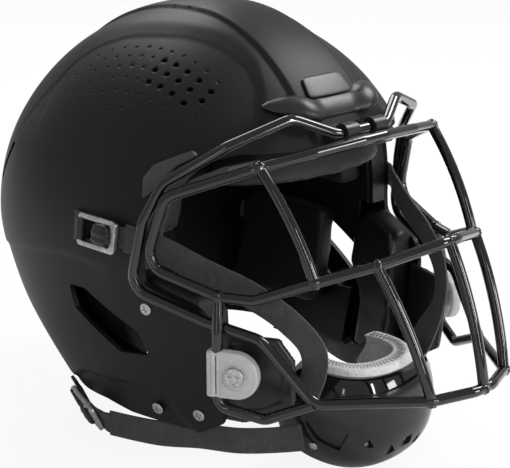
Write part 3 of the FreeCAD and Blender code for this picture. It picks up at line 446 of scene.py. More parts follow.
JAW_SKIN = Finish("jaw_pad_skin", (0.008, 0.008, 0.009), (0.013, 0.013, 0.0145), 0.42, 0.06,
                  specular=0.4, scale=35.0, bump=0.12, pitch=0.0010, grain=Grain.PEBBLE)
NICKEL = Finish("satin_nickel", (0.42, 0.42, 0.43), (0.58, 0.58, 0.59), 0.30, 0.08, metallic=1.0,
                scale=160.0, bump=0.12, pitch=0.0006, grain=Grain.BRUSHED)
STEEL = Finish("zinc_steel", (0.36, 0.36, 0.37), (0.60, 0.60, 0.60), 0.30, 0.1, metallic=1.0,
               scale=500.0, bump=0.2, pitch=0.0005, grain=Grain.BRUSHED)
WEBBING = Finish("dark_webbing", (0.040, 0.040, 0.043), (0.068, 0.068, 0.072), 0.58, 0.08,
                 specular=0.3, sheen=0.2, scale=240.0, bump=0.8, pitch=0.0011, grain=Grain.WEAVE)
CLEAR = Finish("frosted_clear_clip", (0.80, 0.81, 0.80), (0.90, 0.91, 0.90), 0.34, 0.08,
               specular=0.5, transmission=0.55, scale=200.0, bump=0.15, pitch=0.0012)
CUP_PLASTIC = Finish("gloss_cup_plastic", (0.010, 0.010, 0.011), (0.015, 0.015, 0.0162), 0.16, 0.04,
                     specular=0.42, scale=30.0, bump=0.03)
CUP_FABRIC = Finish("white_cup_fabric", (0.60, 0.60, 0.59), (0.78, 0.78, 0.77), 0.8, 0.08,
                    specular=0.2, sheen=0.25, scale=300.0, bump=0.5, pitch=0.0014, grain=Grain.KNIT)
THREAD = Finish("black_thread", (0.008, 0.008, 0.009), (0.016, 0.016, 0.017), 0.7, 0.06,
                specular=0.2, scale=900.0, bump=0.2)
TAG = Finish("pale_tag", (0.22, 0.22, 0.22), (0.32, 0.32, 0.32), 0.6, 0.06, scale=300.0, bump=0.1)
DARK_VOID = Finish("column_plastic", (0.004, 0.004, 0.005), (0.007, 0.007, 0.008), 0.6, 0.05,
                   specular=0.2, scale=50.0, bump=0.04)


def declare(piece: bpy.types.Object, finish: Finish, body: str, slot: str, *nodes: str) -> None:
    """Dress a piece and say where it belongs.

    Args:
        piece: the finished piece.
        finish: its material.
        body: the body it rides on.
        slot: not used.
        nodes: the plain nodes that it replaces.
    """
    finish.dress(piece)
    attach(piece, body)
    if nodes:
        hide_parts(*nodes)


# ---------------------------------------------------------------- the shell's surface


@dataclass(frozen=True)
class ShellForm:
    """The shell's surface: level superellipses round one upright axis."""

    half_width: float = 119 * MM
    front: float = 136 * MM
    rear: float = 164.5 * MM
    axis_y: float = 31.4 * MM
    widest: float = 133.2 * MM
    crown: float = 146 * MM
    side_fullness: float = 2.415
    crown_fullness: float = 1.96
    taper_depth: float = 91.2 * MM
    taper_power: float = 1.8
    rear_taper: float = 0.44
    side_taper: float = 0.116
    jaw_reach: float = 205 * MM
    jaw_fullness: float = 1.75
    jaw_blend_rise: float = 26.8 * MM
    jaw_blend_depth: float = 50 * MM

    def section(self, rise: np.ndarray, inset: float) -> tuple:
        """Half width, reach ahead, reach behind and front fullness at these rises."""
        rise = np.asarray(rise, float)
        blend = ease((self.jaw_blend_rise - rise) / self.jaw_blend_depth)
        front = self.front + (self.jaw_reach - self.front) * blend
        fullness = self.side_fullness + (self.jaw_fullness - self.side_fullness) * blend
        height = np.clip(rise / (self.crown - inset), 0.0, 1.0)
        scale = (1.0 - height ** self.crown_fullness) ** (1.0 / self.crown_fullness)
        taper = np.minimum(1.2, np.maximum(0.0, -rise) / self.taper_depth) ** self.taper_power
        half = np.where(rise >= 0, (self.half_width - inset) * scale,
                        self.half_width * (1 - self.side_taper * taper) - inset)
        ahead = np.where(rise >= 0, (front - inset) * scale, front - inset)
        behind = np.where(rise >= 0, (self.rear - inset) * scale,
                          self.rear * (1 - self.rear_taper * taper) - inset)
        return half, ahead, behind, fullness

    def spot(self, bearing: np.ndarray, rise: np.ndarray, inset: float | np.ndarray = 0.0) -> np.ndarray:
        """Points of the surface from bearing and rise, as rows."""
        half, ahead, behind, fullness = self.section(rise, inset)
        across, along = np.cos(bearing), np.sin(bearing)
        back = along > 0
        reach = np.where(back, behind, ahead)
        power = 2 / np.where(back, self.side_fullness, fullness)
        x = half * np.sign(across) * np.abs(across) ** power
        y = self.axis_y + reach * np.sign(along) * np.abs(along) ** power
        return np.stack([x, y, self.widest + rise + 0 * x], -1)

    def side_x(self, y: np.ndarray, z: np.ndarray, out: float | np.ndarray = 0.0) -> np.ndarray:
        """Distance of the side from the middle plane."""
        half, ahead, behind, fullness = self.section(np.asarray(z) - self.widest, -out)
        along = np.asarray(y) - self.axis_y
        reach = np.where(along > 0, behind, ahead)
        power = np.where(along > 0, self.side_fullness, fullness)
        return half * np.maximum(0.0, 1 - (np.abs(along) / reach) ** power) ** (1 / power)

    def front_y(self, x: np.ndarray, z: np.ndarray, out: float | np.ndarray = 0.0) -> np.ndarray:
        """The front of the shell, seen from ahead."""
        half, ahead, _behind, fullness = self.section(np.asarray(z) - self.widest, -out)
        return self.axis_y - ahead * np.maximum(0.0, 1 - (np.abs(x) / half) ** fullness) ** (1 / fullness)

    def top_z(self, x: np.ndarray, y: np.ndarray, out: float | np.ndarray = 0.0) -> np.ndarray:
        """The top of the shell, seen from above."""
        along = np.asarray(y) - self.axis_y
        reach = np.where(along > 0, self.rear, self.front) + out
        n = self.side_fullness
        scale = ((np.abs(x) / (self.half_width + out)) ** n + (np.abs(along) / reach) ** n) ** (1 / n)
        rise = (1 - np.clip(scale, 0, 1) ** self.crown_fullness) ** (1 / self.crown_fullness)
        return self.widest + (self.crown + out) * rise

    def outside(self, place: np.ndarray) -> float:
        """Positive outside the surface, negative inside."""
        half, ahead, behind, fullness = self.section(place[2] - self.widest, 0.0)
        along = place[1] - self.axis_y
        reach, power = (behind, self.side_fullness) if along > 0 else (ahead, fullness)
        return float((abs(place[0]) / half) ** power + (abs(along) / reach) ** power - 1)

    def normal(self, place: Sequence[float]) -> Vector:
        """Outward unit normal at a place on the surface."""
        step = 0.0005
        slope = []
        for axis in range(3):
            shift = np.zeros(3)
            shift[axis] = step
            slope.append(self.outside(np.array(place) + shift) - self.outside(np.array(place) - shift))
        return Vector(slope).normalized()

    def side_seat(self, side: int, y: float, z: float, out: float = 0.0) -> Matrix:
        """A frame on the side of the shell: Z out of it and X toward the front."""
        place = Vector((side * float(self.side_x(y, z)), y, z))
        normal = self.normal(place)
        return frame_at(place + normal * out, Vector((0, -1, 0)), normal)

    def dome(self, name: str, inset: float, segments: int = 128, rings: int = 64,
             relief: Optional[Callable[[np.ndarray], np.ndarray]] = None) -> bpy.types.Object:
        """The closed space inside the surface.

        Args:
            name: the new piece's name.
            inset: how far in from the surface, or out if negative.
            segments: faces round the axis.
            rings: faces from crown to foot.
            relief: height of raised and sunk forms at each place.

        Returns:
            The closed dome.
        """
        bpy.ops.mesh.primitive_uv_sphere_add(segments=segments, ring_count=rings, radius=1.0)
        piece = named(name)
        rows = points_of(piece)
        climb = np.arcsin(np.clip(rows[:, 2], -1, 1))
        bearing = np.arctan2(rows[:, 1], rows[:, 0])
        foot = math.pi / 3
        rise = np.where(climb >= 0, (self.crown - inset) * np.sin(np.maximum(climb, 0)),
                        -0.118 * np.clip(-climb / foot, 0, 1))
        closing = np.clip((math.pi / 2 + climb) / (math.pi / 2 - foot), 0, 1)
        spots = self.spot(bearing, rise, inset)
        spots[:, 0] *= closing
        spots[:, 1] = self.axis_y + (spots[:, 1] - self.axis_y) * closing
        poles = np.abs(rows[:, 2]) > 0.999999
        spots[poles, 0] = 0.0
        spots[poles, 1] = self.axis_y
        set_points(piece, spots)
        if relief is not None:
            normals = np.empty(3 * len(spots), np.float32)
            piece.data.vertices.foreach_get("normal", normals)
            set_points(piece, spots + normals.reshape(-1, 3) * relief(spots)[:, None])
        return piece


FORM = ShellForm()


def side_outline(corners: Sequence[tuple], radius: float) -> list[tuple]:
    """An outline seen from the side, from millimetres behind the axis and above the widest line."""
    return rounded([(FORM.axis_y + back * MM, FORM.widest + rise * MM) for back, rise in corners], radius * MM)


def layer(name: str, tool: bpy.types.Object, face: float, back: float, detail: int = 128) -> bpy.types.Object:
    """What a window keeps of the space between two depths in the shell, in millimetres."""
    carve(tool, FORM.dome(name + "_face", face * MM, detail, detail // 2), "INTERSECT")
    carve(tool, FORM.dome(name + "_back", back * MM, detail, detail // 2))
    tool.name = name
    return tool


def softened(piece: bpy.types.Object, voxel: float, turns: int) -> bpy.types.Object:
    """Round a piece's edges as moulded or padded stuff is.

    Args:
        piece: the sharp-edged piece.
        voxel: the new mesh's face size, in millimetres.
        turns: how many times it is smoothed.

    Returns:
        The rounded piece.
    """
    modify(piece, "REMESH", mode="VOXEL", voxel_size=voxel * MM)
    modify(piece, "SMOOTH", factor=0.5, iterations=turns)
    return smooth_all(piece)


# Outlines seen from the side, each point in millimetres behind the axis and above the widest line.
BROW, TEMPLE, JAW_FRONT, JAW_DROP, REAR_DROP = 73.8, 52.4, 101.4, 102.7, 87.2
RIM = ((-290, BROW), (-TEMPLE - 40, BROW - 1), (-TEMPLE - 16, BROW - 10), (-TEMPLE - 4, BROW - 27),
       (-TEMPLE, 6.8), (-TEMPLE - 1, -6.2), (-JAW_FRONT + 10, -16.7), (-JAW_FRONT + 4, -29.2),
       (-JAW_FRONT, 30 - JAW_DROP), (-JAW_FRONT + 6, 10 - JAW_DROP), (-JAW_FRONT + 23, -JAW_DROP),
       (-23.4, -JAW_DROP - 0.5), (-1.4, 3 - JAW_DROP), (25.6, 3 - JAW_DROP), (68.6, -REAR_DROP - 6),
       (118.6, -REAR_DROP), (290, -REAR_DROP), (290, -REAR_DROP - 110), (-290, -REAR_DROP - 110))
EAR_SLOT = ((13.6, -21.2), (-2.4, -20.2), (-45.4, -39.2), (-52.4, -54.2), (-28.4, -57.2), (8.6, -36.2))
REAR_VENT = ((96.0, 52.0), (101.0, 52.0), (118.0, 24.0), (113.0, 24.0))
# Past the widest place of the shell, in metres.
WIDE = 0.14


# ---------------------------------------------------------------- shell


@dataclass
class OuterShell:
    """The painted outer shell with its raised band, shoulder creases, vents and dimples."""

    band_height: float = 2.2
    shoulder_depth: float = 1.7
    panel_depth: float = 1.8
    hole_width: float = 3.6
    row_pitch: float = 6.3
    hole_pitch: float = 10.4

    def relief(self, rows: np.ndarray) -> np.ndarray:
        """Height of the raised and sunk forms at each place, in metres."""
        x, y, z = np.abs(rows[:, 0]) / MM, rows[:, 1] / MM, rows[:, 2] / MM
        edge = np.interp(y, (-62, -30, 10, 60, 140, 195), (27.5, 25, 23, 22.5, 23, 24))
        height = self.band_height * (1 - ease((x - edge + 1.3) / 2.6)) * ease((z - 118) / 45)
        inner = np.interp(y, (-61, -38, -16, 9, 43, 81, 150), (44, 31, 29, 35, 38, 39.5, 42))
        outer = np.interp(y, (-57, -50, -38, -22, -1, 26, 55, 77, 94, 102, 160),
                          (52, 44, 40, 41, 45, 50, 54, 60, 68, 78, 100))
        slope = ease((x - inner) / np.maximum(6.0, outer - inner))
        away = 1 - ease((x - outer) / 48)
        fade = ease((z - 178) / 40) * (1 - ease((y - 118) / 50)) * ease((y + 74) / 14)
        height -= self.shoulder_depth * slope * away * fade
        height -= 0.6 * ease((x - outer + 1.2) / 2.4) * away * fade
        side_line = np.interp(y, (-10, 7, 47, 95, 150), (133, 132, 132, 124, 112))
        side = (1 - ease((z - side_line + 1.6) / 3.2)) * ease((z - side_line + 46) / 40)
        height -= 1.3 * side * ease((y + 2) / 26) * ease((x - 45) / 25)
        panel_line = np.interp(y, (-46, -38, -25, -16, 17, 45, 66), (28, 34, 52.5, 57, 52, 50, 38))
        height -= self.panel_depth * (1 - ease((z - panel_line + 1.2) / 2.4)) * ease((x - 60) / 20)
        return height * MM

    def vent_row(self, row: int, y: float) -> tuple[float, float, float]:
        """A place on one row of vents, on the wearer's left."""
        bow = float(np.interp(y, (-40, 0, 30, 60, 80, 110), (0, 0, 1, 5, 12, 27)))
        x = (65 + self.row_pitch * row + bow) * MM
        return x, y * MM, float(FORM.top_z(x, y * MM))

    def peg(self, name: str, place: tuple, side: int, radius: float, depth: float,
            stretch: float = 1.0) -> bpy.types.Object:
        """One cutter that stands on the shell's surface."""
        spot = Vector((side * place[0], place[1], place[2]))
        seat = frame_at(spot, Vector((0, -1, 0)), FORM.normal(spot))
        return rod(name, 18, radius, depth, seat @ Matrix.Diagonal((stretch, 1, 1, 1)))

    def dent(self, name: str, place: tuple, side: int, width: float, depth: float) -> bpy.types.Object:
        """One ball that presses a round dent of this width into the surface."""
        radius = (width * width / 4 + depth * depth) / (2 * depth)
        spot = Vector((side * place[0], place[1], place[2]))
        normal = FORM.normal(spot)
        bpy.ops.mesh.primitive_ico_sphere_add(subdivisions=2, radius=radius * MM)
        cutter = named(name)
        height = float(self.relief(np.array([spot]))[0])
        cutter.data.transform(Matrix.Translation(spot + normal * (height + (radius - depth) * MM)))
        return cutter

    def vent_tools(self) -> tuple[list, list]:
        """The cutters of the open vents and of the dimples."""
        holes, dents = [], []
        for _name, side in SIDES:
            for row in range(-1, 5):
                stagger = self.hole_pitch / 8 if row in (1, 3) else 0.0
                for step in range(-4, 11):
                    y = 9.6 + self.hole_pitch * step + stagger
                    place = self.vent_row(row, y)
                    if row in (0, 1, 2) and -4 <= step <= 0 and not (row == 2 and step == -4):
                        dents.append(self.dent("dent", place, side, 5.6, 0.8))
                        holes.append(self.peg("hole", place, side, self.hole_width / 2, 14, 1.3))
                    elif y > -38 - 3 * row:
                        far = max(abs(y + 10) - 22, 0) / 90
                        dents.append(self.dent("dent", place, side, 3.4 - 1.6 * far, 0.7 - 0.3 * far))
        return holes, dents

    def build(self) -> None:
        """Make the shell and dress it."""
        shell = FORM.dome("shell_skin", 0.0, 420, 200, self.relief)
        hollow = FORM.dome("shell_hollow", 3.5 * MM, 160, 80, self.relief)
        carve(shell, hollow)
        carve(shell, prism("rim_tool", side_outline(RIM, 9.0), -WIDE, WIDE))
        for outline, radius in ((EAR_SLOT, 3.0), (REAR_VENT, 1.0)):
            for _name, side in SIDES:
                low, high = sorted((side * 0.03, side * WIDE))
                carve(shell, prism("slot_tool", side_outline(outline, radius), low, high))
        holes, dents = self.vent_tools()
        carve(shell, joined("dent_tools", dents))
        carve(shell, joined("hole_tools", holes))
        smooth_faces(shell, 40)
        declare(shell, SHELL_PAINT, "helmet", "shell", "outer_shell")
        log.info("shell: %d faces", len(shell.data.polygons))


# ---------------------------------------------------------------- liner


@dataclass
class Liner:
    """The padded liner: brow, crown, rear, nape, temples and jaws."""

    face: float = 18.5
    back: float = 38.0
    voxel: float = 2.6
    turns: int = 7
    groove: float = 2.6

    def window(self, name: str, x: tuple, back: tuple, rise: tuple) -> bpy.types.Object:
        """A box from its limits in millimetres off the middle plane, behind the axis and above the widest line."""
        corners = [(b, r) for b, r in ((back[0], rise[0]), (back[1], rise[0]), (back[1], rise[1]),
                                       (back[0], rise[1]))]
        return prism(name, side_outline(corners, 6.0), x[0] * MM, x[1] * MM)

    def channel(self, piece: bpy.types.Object, low: tuple, high: tuple, turn: float = 0.0) -> None:
        """Press one sewn channel into a pad's inner face.

        Args:
            piece: the pad.
            low: one corner of the channel's blade, in millimetres.
            high: the other corner.
            turn: how far the blade turns about the upright axis, in degrees.
        """
        centre = [(a + b) / 2 for a, b in zip(low, high)]
        size = [abs(b - a) for a, b in zip(low, high)]
        carve(piece, slab("blade", size, shift(*centre) @ Matrix.Rotation(math.radians(turn), 4, "Z")))

    def finish(self, piece: bpy.types.Object, node: str, skin: Finish, fill: float = 0.6) -> None:
        """Round, dress and declare one pad."""
        softened(piece, self.voxel, self.turns)
        declare(piece, skin, "helmet", "liner", node)
        log.info("pad %s: %d faces", piece.name, len(piece.data.polygons))

    def build(self) -> None:
        """Make every pad."""
        y, z = FORM.axis_y / MM, FORM.widest / MM
        front = layer("brow_cushion", self.window("w", (-83, 83), (-200, -66), (50.5, 99)), self.face, self.back)
        for x in (-56, -28, 0, 28, 56):
            self.channel(front, (x - 1.2, -70 + abs(x) * 0.45, z + 40), (x + 1.2, -49 + abs(x) * 0.45, z + 110))
        self.finish(front, "front_pad", LINER_SKIN)
        crown = layer("crown_cushion", self.window("w", (-37, 37), (-56, 66), (72, 140)), self.face, self.back)
        for x in (-13, 13):
            self.channel(crown, (x - 1.2, -60, z + 60), (x + 1.2, 120, z + 113))
        for offset in (-26, 4, 34):
            self.channel(crown, (-50, y + offset - 1.2, z + 60), (50, y + offset + 1.2, z + 111))
        self.finish(crown, "crown_pad", LINER_SKIN)
        rear = layer("rear_cushion", self.window("w", (-59, 59), (74, 220), (-11, 90)), self.face, self.back)
        for x in (-30, 0, 30):
            self.channel(rear, (x - 1.2, 90, z - 30), (x + 1.2, y + 118 - abs(x) * 0.25, z + 60))
        self.finish(rear, "rear_pad", LINER_SKIN)
        nape = layer("nape_cushion", self.window("w", (-47, 47), (62, 220), (-76, -17)), self.face, self.back)
        self.finish(nape, "nape_pad", LINER_SKIN)
        for name, side in SIDES:
            low, high = sorted((side * 62, side * 140))
            temple = layer("temple_cushion_" + name, self.window("w", (low, high), (-45, 64), (17, 92)),
                           self.face, self.back)
            for offset in (-18, 14, 40):
                inner, outer = sorted((side * 40, side * 84))
                self.channel(temple, (inner, y + offset - 1.2, z), (outer, y + offset + 1.2, z + 100))
            self.finish(temple, "side_pad_" + name, LINER_SKIN)
            jaw = ((-55, -2.5), (-87, -11.5), (-90, -30), (-93, -72.7), (-87, -90), (-59, -94), (-57, -60),
                   (-43, -40), (-45, -8.5))
            low, high = sorted((side * 0.04, side * WIDE))
            cheek = layer("jaw_cushion_" + name, prism("w", side_outline(jaw, 6.0), low, high), 4.0, 26.3)
            for rise in (-38.0, -66.0):
                inner, outer = sorted((side * 60, side * 86))
                self.channel(cheek, (inner, y - 100, z + rise - 1), (outer, y - 40, z + rise + 1), side * 12)
            self.finish(cheek, "jaw_pad_" + name, JAW_SKIN, 0.8)
            box = self.window("w", tuple(sorted((side * 62, side * 140))), (-16.5, 58), (-76, -8))
            behind = layer("ear_cushion_" + name, box, self.face, 33.0)
            softened(behind, self.voxel, self.turns)
            self._added(behind, LINER_SKIN)
        self._brow_roll()
        self._tag()

    def _added(self, piece: bpy.types.Object, skin: Finish) -> None:
        """Dress and declare one soft piece that stands for no single pad."""
        declare(piece, skin, "helmet", "liner")

    def _tag(self) -> None:
        """A blank sewn tag low on the inside, behind the wearer's left ear."""
        piece = block("blank_tag", 7, 6.0)
        seat = FORM.side_seat(1, 98.5 * MM, 105 * MM, -19.6 * MM)
        piece.data.transform(seat @ Matrix.Diagonal((8.5 * MM, 6.5 * MM, 0.4 * MM, 1)))
        self._added(piece, TAG)

    def _brow_roll(self) -> None:
        """The soft rolled band along the brow cushion's lower edge."""
        x = np.linspace(-76, 76, 33) * MM
        z = (FORM.widest / MM + 56.0 - 3.0 * (x / MM / 76) ** 2) * MM
        y = FORM.front_y(x, z, -36.5 * MM)
        path = [Vector(spot) for spot in zip(x, y, z)]
        self._added(tube("brow_roll", path, 7.2 * MM, 20), LINER_SKIN)


def tube(name: str, path: Sequence[Vector], radius: float, sides: int = 12,
         closed: bool = False) -> bpy.types.Object:
    """A round bar, roll or thread along a path, as a mesh.

    Args:
        name: the new piece's name.
        path: points along its middle.
        radius: its radius in metres.
        sides: faces round it.
        closed: join the last point to the first.

    Returns:
        The tube.
    """
    curve = bpy.data.curves.new(name, "CURVE")
    curve.dimensions = "3D"
    curve.bevel_depth = radius
    curve.bevel_resolution = max(1, sides // 2 - 2)
    curve.use_fill_caps = True
    spline = curve.splines.new("POLY")
    spline.points.add(len(path) - 1)
    for point, spot in zip(spline.points, path):
        point.co = (*spot, 1.0)
    spline.use_cyclic_u = closed
    holder = bpy.data.objects.new(name, curve)
    bpy.context.scene.collection.objects.link(holder)
    activate(holder)
    bpy.ops.object.convert(target="MESH")
    piece = named(name)
    bpy.ops.object.shade_smooth()
    return piece


# ---------------------------------------------------------------- bumpers and guards


@dataclass
class Guards:
    """Brow bumper, blank plate, nape bumper, jaw guards and screws."""

    half: float = 49.0
    lobe: float = 9.8
    plate_half: float = 19.5
    screws: tuple = ((-50.2, -91.9), (-80.9, -89.0), (-54.2, -22.4))

    def build(self) -> None:
        """Make every guard."""
        self._bumper()
        self._plate()
        self._nape()
        for name, side in SIDES:
            self._jaw_guard(name, side)
        self._temples()
        self._screws()

    def _temples(self) -> None:
        """A narrow grey strip on each temple, close under the mask's ring."""
        edge = ((-TEMPLE + 1.5, 45.5), (-TEMPLE + 4.0, 57.0), (-TEMPLE - 0.5, 65.5), (-TEMPLE - 19.5, BROW + 1.0),
                (-TEMPLE - 23.5, BROW - 1.5), (-TEMPLE - 14.0, BROW - 8.0), (-TEMPLE - 1.5, BROW - 26.0))
        strips = []
        for name, side in SIDES:
            low, high = sorted((side * 0.05, side * WIDE))
            strips.append(layer("strip_" + name, prism("w", side_outline(edge, 2.0), low, high), -1.9, -0.35, 256))
        piece = joined("temple_strips", strips)
        smooth_faces(piece, 40)
        declare(piece, GREY_GUARD, "helmet", "guard_strip", "temple_guards")

    def _bumper(self) -> None:
        """A rubber saddle with two thick lobes and a low middle."""
        piece = block("brow_bumper", 31, 5.0)
        rows = points_of(piece)
        across = rows[:, 0] * self.half
        reach = np.abs(across)
        rise = FORM.widest / MM
        low = rise + np.interp(reach, (0, 22, 46, 50), (88.7, 88.9, 94.4, 97.2))
        high = rise + np.interp(reach, (0, 19, 26, 36, 45, 50), (99.4, 99.4, 102.6, 103.0, 101.0, 98.6))
        thick = np.interp(reach, (0, 14, 22, 30, 40, 50), (3.6, 4.0, 8.6, self.lobe, 6.6, 2.0))
        z = low + (high - low) * (rows[:, 2] + 1) / 2
        cushion = 1 - 0.22 * rows[:, 2] ** 2
        out = 0.35 + thick * cushion * (1 - rows[:, 1]) / 2
        y = np.array([float(FORM.front_y(a * MM, b * MM, c * MM)) for a, b, c in zip(across, z, out)])
        set_points(piece, np.stack([across * MM, y, z * MM], -1))
        tidy(piece)
        smooth_faces(piece, 60)
        declare(piece, RUBBER, "helmet", "bumper", "front_bumper")

    def _plate(self) -> None:
        """The blank plate above the bumper's middle."""
        piece = block("bumper_blank_plate", 23, 7.0)
        rows = points_of(piece)
        rise = FORM.widest / MM
        taper = 1 - 0.16 * (rows[:, 2] + 1) / 2
        across = rows[:, 0] * self.plate_half * taper
        z = rise + 100.2 + 10.6 * (rows[:, 2] + 1) / 2
        out = 0.35 + 2.2 + 1.5 * (1 - rows[:, 1]) / 2
        y = np.array([float(FORM.front_y(a * MM, b * MM, c * MM)) for a, b, c in zip(across, z, out)])
        set_points(piece, np.stack([across * MM, y, z * MM], -1))
        tidy(piece)
        smooth_faces(piece, 50)
        declare(piece, RUBBER, "helmet", "plate", "bumper_plate")

    def _nape(self) -> None:
        """The soft-edged bumper across the nape."""
        rise = -87.2
        tool = prism("w", side_outline(((55, rise + 7), (220, rise + 7), (220, rise + 39), (55, rise + 39)), 5.0),
                     -45.5 * MM, 45.5 * MM)
        piece = layer("nape_bumper", tool, -5.2, -0.35)
        softened(piece, 1.3, 5)
        declare(piece, RUBBER, "helmet", "bumper", "rear_bumper")

    def _jaw_guard(self, name: str, side: int) -> None:
        """A moulded jaw guard with a stepped pocket."""
        edge = ((-JAW_FRONT + 9.5, -31.0), (-JAW_FRONT - 30, -30.0), (-JAW_FRONT - 38, -44.0),
                (-JAW_FRONT - 36, -74.0), (-JAW_FRONT - 20, -84.0), (-JAW_FRONT - 6, -90.0),
                (-JAW_FRONT + 12.5, 12.5 - JAW_DROP), (-JAW_FRONT + 6.5, 30 - JAW_DROP))
        step = ((-JAW_FRONT - 3, -36.0), (-JAW_FRONT - 27, -35.5), (-JAW_FRONT - 33, -46.0),
                (-JAW_FRONT - 31, -71.0), (-JAW_FRONT - 18, -78.5), (-JAW_FRONT - 4, -82.0))
        low, high = sorted((side * 0.03, side * WIDE))
        piece = layer("jaw_plate_" + name, prism("w", side_outline(edge, 3.0), low, high), 3.9, 7.8)
        pocket = prism("w", side_outline(step, 4.0), low, high)
        carve(pocket, FORM.dome("d", 5.5 * MM))
        carve(piece, pocket)
        softened(piece, 0.9, 2)
        declare(piece, BLACK_PLASTIC, "helmet", "black_plastic", "jaw_guard_" + name)

    def _screws(self) -> None:
        """Six pan-head screws with a cross recess."""
        heads = []
        model = rod("screw_model", 36, 4, 1.6, shift(0, 0, 0.8))
        modify(model, "BEVEL", width=0.7 * MM, segments=4, limit_method="ANGLE")
        for turn in (20, 110):
            place = shift(0, 0, 1.5) @ Matrix.Rotation(math.radians(turn), 4, "Z")
            carve(model, slab("slot", (4.6, 0.9, 1.4), place))
        for back, rise in self.screws:
            for _name, side in SIDES:
                seat = FORM.side_seat(side, FORM.axis_y + back * MM, FORM.widest + rise * MM, -0.4 * MM)
                heads.append(copy_of(model, "head", seat))
        remove(model)
        piece = joined("shell_screw_heads", heads)
        smooth_faces(piece, 30)
        declare(piece, STEEL, "helmet", "satin_steel", "shell_screws")


# ---------------------------------------------------------------- mask


@dataclass
class Mask:
    """Weld beads where the mask's bars meet."""

    bead: float = 4.1

    def joints(self) -> list[tuple]:
        """The welds on the wearer's left, in millimetres."""
        nose = (0.0, -164.0, 160.5)
        chin = (0.0, -193.0, 77.4)
        eye_y = float(FORM.front_y(0, 212 * MM)) / MM - 23
        post_y = -75.0
        post_x = float(FORM.side_x(post_y * MM, 129 * MM)) / MM + 5
        return [nose, chin, (78.0, eye_y + 19, 204.0), (73.0, nose[1] + 38.4, nose[2] - 17.5),
                (45.6, nose[1] + 16, nose[2] - 8.5), (34.6, chin[1] + 11, chin[2] - 1.5),
                (post_x, post_y, 129.0)]

    def build(self) -> None:
        """Make the beads."""
        beads = []
        for x, y, z in self.joints():
            for side in ((1,) if x == 0 else (1, -1)):
                bpy.ops.mesh.primitive_ico_sphere_add(subdivisions=4, radius=self.bead * MM)
                bead = named("bead")
                rows = points_of(bead)
                wave = 1 + 0.035 * np.sin(rows[:, 2] / MM * 2.6 + x) + 0.03 * np.sin(rows[:, 0] / MM * 2.1 + y)
                set_points(bead, rows * wave[:, None] + np.array([side * x, y, z]) * MM)
                beads.append(bead)
        piece = joined("mask_weld_beads", beads)
        declare(smooth_all(piece), MASK_COAT, "facemask", "mask_coating")


# ---------------------------------------------------------------- buckles and clips


@dataclass
class Buckles:
    """Four toothed buckle frames with the strap's end wrapped round each bar."""

    length: float = 33.0
    height: float = 20.0
    thickness: float = 2.6
    lift: float = 5.2
    seats: tuple = (("upper", -8.0, 20.5), ("lower", 26.6, -105.0))

    def place(self, kind: str, side: int) -> Matrix:
        """The buckle's hinge frame."""
        back, rise = next((b, r) for k, b, r in self.seats if k == kind)
        return FORM.side_seat(side, FORM.axis_y + back * MM, FORM.widest + rise * MM, self.lift * MM)

    def model(self) -> bpy.types.Object:
        """One frame in its own place: a rounded ring with teeth on its front bar."""
        half = self.height / 2
        outer = [(-1.5, -half), (self.length, -half), (self.length, half), (-1.5, half)]
        inner = [(1.6, -half + 2.9), (self.length - 4.6, -half + 2.9), (self.length - 4.6, half - 2.9),
                 (1.6, half - 2.9)]
        low, high = -self.thickness / 2 * MM, self.thickness / 2 * MM
        ring = prism("ring", metres(rounded(outer, 3.2)), low, high, "z")
        carve(ring, prism("hole", metres(rounded(inner, 1.8)), 2 * low, 2 * high, "z"))
        modify(ring, "BEVEL", width=0.45 * MM, segments=3, limit_method="ANGLE", angle_limit=math.radians(40))
        teeth = []
        for step in range(11):
            place = shift(self.length - 2.6, -7.5 + 1.5 * step, self.thickness / 2)
            teeth.append(rod("tooth", 8, 0.42, 3.4, place @ Matrix.Rotation(math.pi / 2, 4, "Y")))
        for step in range(13):
            for across in (-1, 1):
                place = shift(5.0 + 1.7 * step, across * 8.6, self.thickness / 2)
                teeth.append(rod("tooth", 8, 0.34, 2.0, place @ Matrix.Rotation(math.pi / 2, 4, "X")))
        return joined("buckle_model", [ring, *teeth])

    def build(self) -> None:
        """Make the four buckles and the strap ends on them."""
        model = self.model()
        for kind, _back, _rise in self.seats:
            for name, side in SIDES:
                place = self.place(kind, side)
                body = f"{kind}_buckle_body_{name}"
                ring = copy_of(model, f"{kind}_buckle_frame_{name}", place)
                smooth_faces(ring, 40)
                declare(ring, NICKEL, body, "satin_steel", f"{kind}_buckle_{name}")
                self._wrap(kind, name, place, body)
        remove(model)

    def _wrap(self, kind: str, name: str, place: Matrix, body: str) -> None:
        """The strap's end, folded round the bar inside the frame."""
        piece = block(f"{kind}_strap_wrap_{name}", 19, 3.4)
        rows = points_of(piece)
        ridge = 1 + 0.05 * np.sin(rows[:, 1] * 9)
        set_points(piece, rows * np.array([7.6, 6.9, 3.5]) * MM * np.stack([ridge, 1 + 0 * ridge, ridge], -1))
        piece.data.transform(place @ Matrix.Translation((21.0 * MM, 0, 1.2 * MM)))
        smooth_faces(piece, 60)
        declare(piece, JAW_SKIN, body, "webbing", f"{kind}_loop_{name}")


